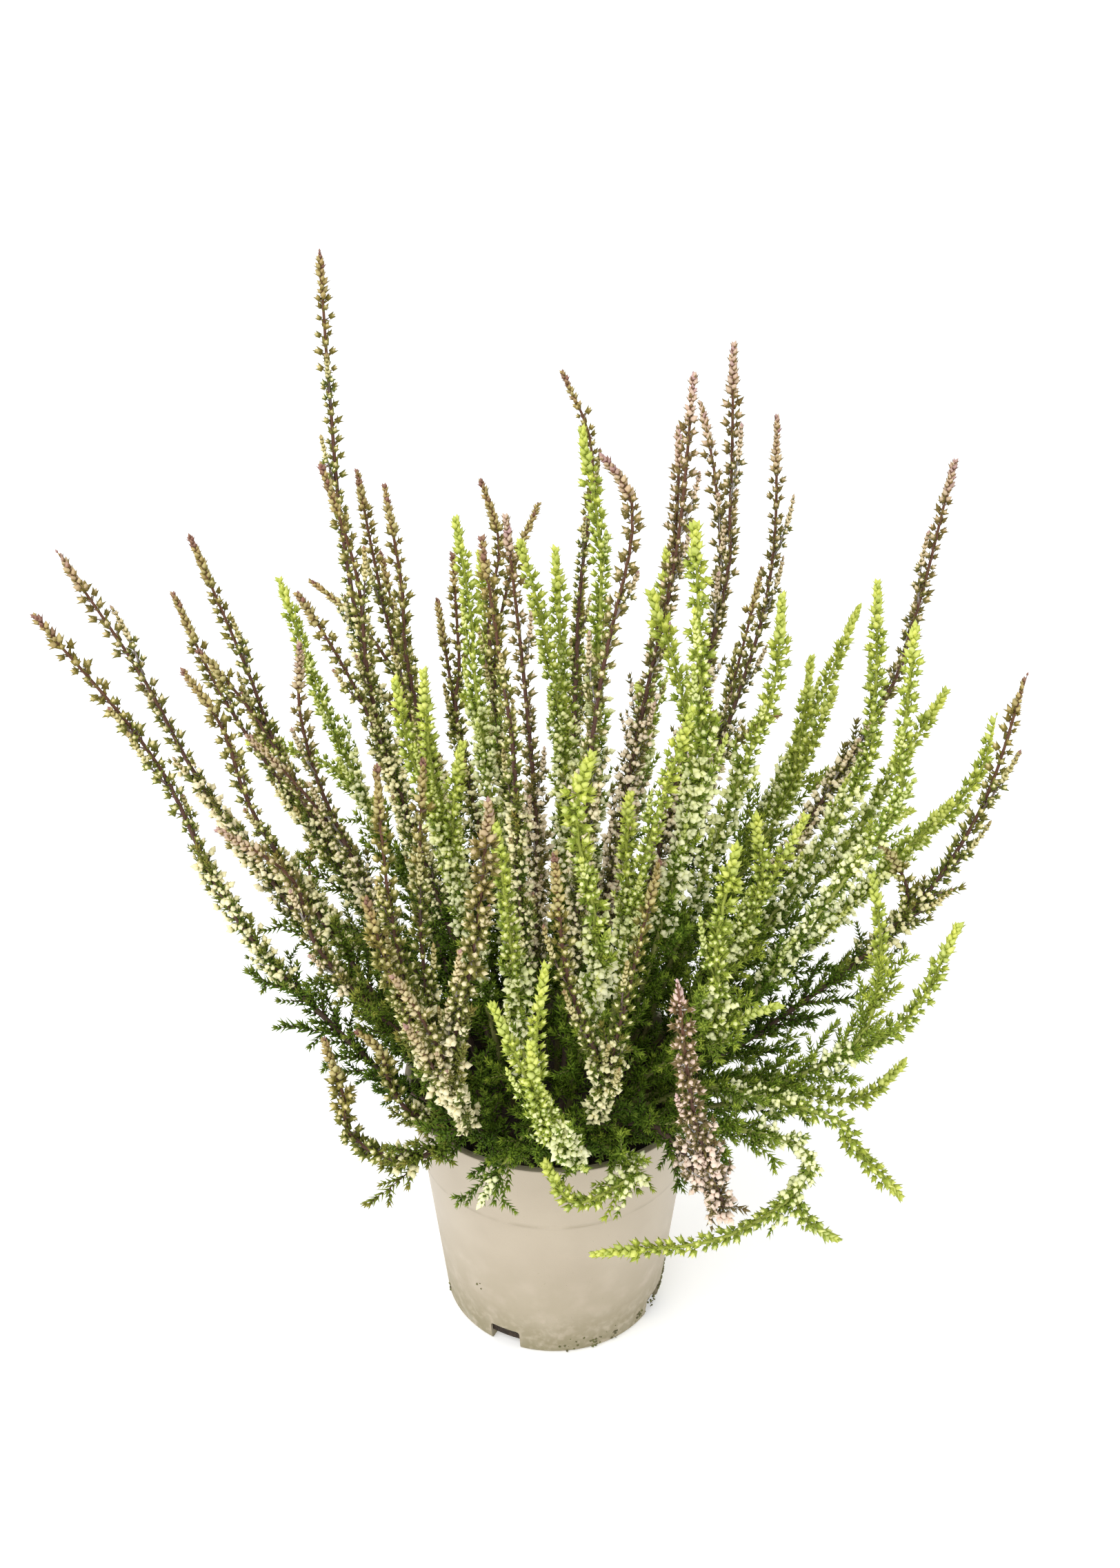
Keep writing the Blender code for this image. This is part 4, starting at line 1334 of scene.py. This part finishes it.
def grow_sprig(plant, route, leafy, foot_radius, ages, bare_foot, blush):
    """One stem with all that grows on it, from its tip down to its bare foot."""
    stem = new_growth()
    walk = stem_walk(route)
    tip_age, foot_age = ages
    add_stem(stem, walk, foot_radius * STEM_THICKNESS, foot_age)
    growth = new_growth()
    length = float(along(np.array([tuple(point) for point, _, _ in walk]))[-1])
    spike = min(SPIKE[plant], SPIKE_SHARE * length) * draw.uniform(*SPIKE_VARIES)
    tip, heading, side = walk[-1]
    tall = tip.z > TALL_FROM and (tip - walk[0][0]).normalized().z > STEEP
    knobs_to = KNOBS_TO[plant] + draw.uniform(*AGE_VARIES)
    bells_to = (BELLS_TO[plant] if tall else LOW_BELLS_TO) + draw.uniform(*AGE_VARIES)
    leafy_under = draw.uniform(*LEAFY_UNDER)
    size = (0.5 + 0.1 * leafy) * MM
    turn = any_turn()
    from_tip = 1.3 * size
    next_spray = next_bough = 0
    next_sprig = SPRIG_FROM
    bud = [share * size for share in TIP_BUD]
    point = growing(tip - heading * bud[2], side, heading, 0, bud)
    set_copy(growth, bead, point, age=tip_age, blush=blush)
    while from_tip < length - bare_foot:
        age = tip_age + (foot_age - tip_age) * from_tip / length
        spot = place_on(walk, length, length - from_tip)
        height, front = spot[0].z, spot[0].y < BUSH_FRONT
        upright = spot[1].z > UPRIGHT
        leaf_zone = height < leafy_under if tall and not front else age > bells_to
        rosy = 0 if leaf_zone else blush
        if from_tip < spike:
            grown = from_tip / spike
            thin, swell = SPIKE_WIDTH[plant]
            parts, lift, step = [young_scale], between(SPIKE_LIFT, grown), between(SPIKE_STEP, grown)
            scale = size * (thin + swell * grown**0.5)
        elif leaf_zone:
            heart = height < HEART_TOP and math.hypot(spot[0].x, spot[0].y) < HEART_RADIUS
            wider = HEART_STEP if heart else 1
            parts, lift, scale, step = branchlets, TWIG_LIFT, size, wider * TWIG_STEP
            if from_tip > next_bough:
                drooping = not upright and not front and DROOPING[0] < spot[0].x < DROOPING[1]
                side_twigs = long_boughs if drooping else boughs
                add_pair(growth, side_twigs, spot, turn + QUARTER_TURN / 2, BOUGH_LIFT, size, age, rosy)
                next_bough = from_tip + wider * BOUGH_STEP * draw.uniform(0.8, 1.2)
        elif age < knobs_to:
            airy = plant == "bronze" and (height > AIRY_FROM or spot[0].x < AIRY_SIDE)
            parts, lift, scale = knobs, KNOB_LIFT, KNOB_SIZE * size
            step = AIRY_STEP if airy else KNOB_STEP[plant]
            if leafy > TUFTS_FROM:
                parts, lift, step = tufts, TUFT_LIFT, TUFT_STEP
        else:
            parts, lift, scale, step = clusters, CLUSTER_LIFT, CLUSTER_SIZE * size, BELL_STEP
            if from_tip > next_spray:
                twigs = sprays + branchlets
                add_pair(growth, twigs, spot, turn + QUARTER_TURN / 2, SPRAY_LIFT, size, age, rosy)
                next_spray = from_tip + SPRAY_STEP[plant] * draw.uniform(0.8, 1.2)
        if from_tip > next_sprig and not leaf_zone and tall and upright:
            angle = any_turn()
            sprig = draw.choice(sprigs)
            add_part(growth, sprig, spot, angle, draw.uniform(*SPRIG_LIFT), size, SPRIG_AGE, rosy)
            next_sprig = from_tip + SPRIG_STEP * draw.uniform(0.7, 1.3)
        add_pair(growth, parts, spot, turn, lift, scale, age, rosy)
        turn += QUARTER_TURN + draw.uniform(-0.35, 0.35)
        from_tip += step * draw.uniform(0.9, 1.1) * size / MM
    join(stem, growth)
    return stem


def make_young_scale():
    """A young bud with its bract, as it lies in the spike."""
    bm = new_growth()
    set_copy(bm, bead, Matrix.Diagonal((1.25, 1.25, 2.0, 1)))
    bract = growing(Vector((0, -0.2, 0)), UP, Vector((0, -1, 0)), 72, (*BELL_BRACT, 2.0))
    set_copy(bm, leaf, bract)
    return kept("young_scale", bm)


def make_sprig(number, length):
    """A young side sprig: knobs below, a spike of young buds above."""
    bm = new_growth()
    set_copy(bm, bent_stalk, Matrix.Diagonal((1.3, 1.3, length, 1)))
    height, turn = 3.0, any_turn()
    while height < length - SPRIG_BUD:
        from_tip = (length - height) / length
        foot = height * UP
        if from_tip > 0.5:
            place = growing(foot, UP, round_about(turn), 40, (1, 1, 1))
            set_copy(bm, draw.choice(knobs), place, age=0.1)
            height += 1.7
        else:
            scale = 0.9 + 1.0 * from_tip
            for half in (0, math.pi):
                place = growing(foot, UP, round_about(turn + half), 62, (scale, scale, scale))
                set_copy(bm, young_scale, place, age=0.5 * from_tip - 0.22)
            height += 1.6
        turn += SPRIG_TURN
    bud = Matrix.Translation((length - SPRIG_BUD) * UP) @ Matrix.Diagonal((1.4, 1.4, 2.0, 1))
    set_copy(bm, bead, bud, age=-0.24)
    arched(bm, SPRIG_BOW)
    return kept(f"sprig_{number}", bm)


young_scale = make_young_scale()
sprigs = [make_sprig(number, length) for number, length in enumerate((18, 23, 28))]
FAINTLY_ROSY = 0.15
ROSY = {2: 0.4, 5: 0.5, 6: 0.6, 14: 0.7, 16: 0.5, 17: 0.8, 18: 0.7, 19: 0.5, 20: 0.6, 22: 1.1, 26: 0.4}
LOW_FOOT_AGE = 0.85
LOW_FORK, LOW_FORK_AGE = 0.2, 0.6
SIDE_STEM = 0.6
SIDE_BARE = 2 * MM
mains, sides = settled_shoots()
counts = {"bronze": 0, "lime": 0}
for (plant, leafy, _, _), main, forks in zip(SHOOTS, mains, sides):
    counts[plant] += 1
    node = f"{plant}_shoot_{counts[plant]:02d}"
    blush = ROSY.get(counts[plant], FAINTLY_ROSY) if plant == "bronze" else 0.0
    foot = main[0] - np.array([0, 0, HOLE_DEPTH])
    route = np.vstack([foot, main])
    ages = (0, 1 if main[-1][2] > TALL_FROM else LOW_FOOT_AGE)
    shoot = grow_sprig(plant, route, leafy, STEM_RADIUS, ages, HOLE_DEPTH + BARE_FOOT, blush)
    for root, side in forks:
        share = root / (STATIONS - 1)
        ages = (LOW_FORK_AGE if share < LOW_FORK else 0, 1 - share)
        thin, slim = SIDE_FULLNESS * leafy, SIDE_STEM * STEM_RADIUS
        join(shoot, grow_sprig(plant, side, thin, slim, ages, SIDE_BARE, blush))
    for vert in shoot.verts:
        vert.co = Vector(sorted(three)[1] for three in zip(BOX_LOW, vert.co, BOX_HIGH))
    finish_piece(node + "_foliage", shoot, MATERIALS[plant], node)


# A white sweep of studio floor, lit by the pale room and one large soft lamp from the left.
FLOOR_SIZE = 30.0
LAMP_PLACE = Vector((-0.9, -1.1, 1.9))
LAMP_AIM = Vector((0, 0, 0.2))
LAMP_SIZE = 1.4
LAMP_POWER = 22.0
ROOM_LIGHT = 1.0
FLOOR_GLOW = 0.3

material, tree, shader = new_material("studio_floor", 0.9)
shader.inputs["Base Color"].default_value = (0.9, 0.9, 0.9, 1.0)
shader.inputs["Specular IOR Level"].default_value = 0.1
shader.inputs["Emission Color"].default_value = (1.0, 1.0, 1.0, 1.0)
shader.inputs["Emission Strength"].default_value = FLOOR_GLOW
bm = bmesh.new()
bmesh.ops.create_grid(bm, x_segments=1, y_segments=1, size=FLOOR_SIZE / 2)
floor = placed("studio_floor", kept_mesh("studio_floor", bm))
floor.data.materials.append(material)

lamp = bpy.data.lights.new("soft_lamp", "AREA")
lamp.size = LAMP_SIZE
lamp.energy = LAMP_POWER
lamp_object = placed("soft_lamp", lamp)
lamp_object.location = LAMP_PLACE
lamp_object.rotation_euler = (LAMP_AIM - LAMP_PLACE).to_track_quat("-Z", "Y").to_euler()

world = bpy.data.worlds.new("pale_room")
world.use_nodes = True
world.node_tree.nodes["Background"].inputs["Color"].default_value = (1.0, 1.0, 1.0, 1.0)
world.node_tree.nodes["Background"].inputs["Strength"].default_value = ROOM_LIGHT
bpy.context.scene.world = world
bpy.context.scene.view_settings.view_transform = "Standard"
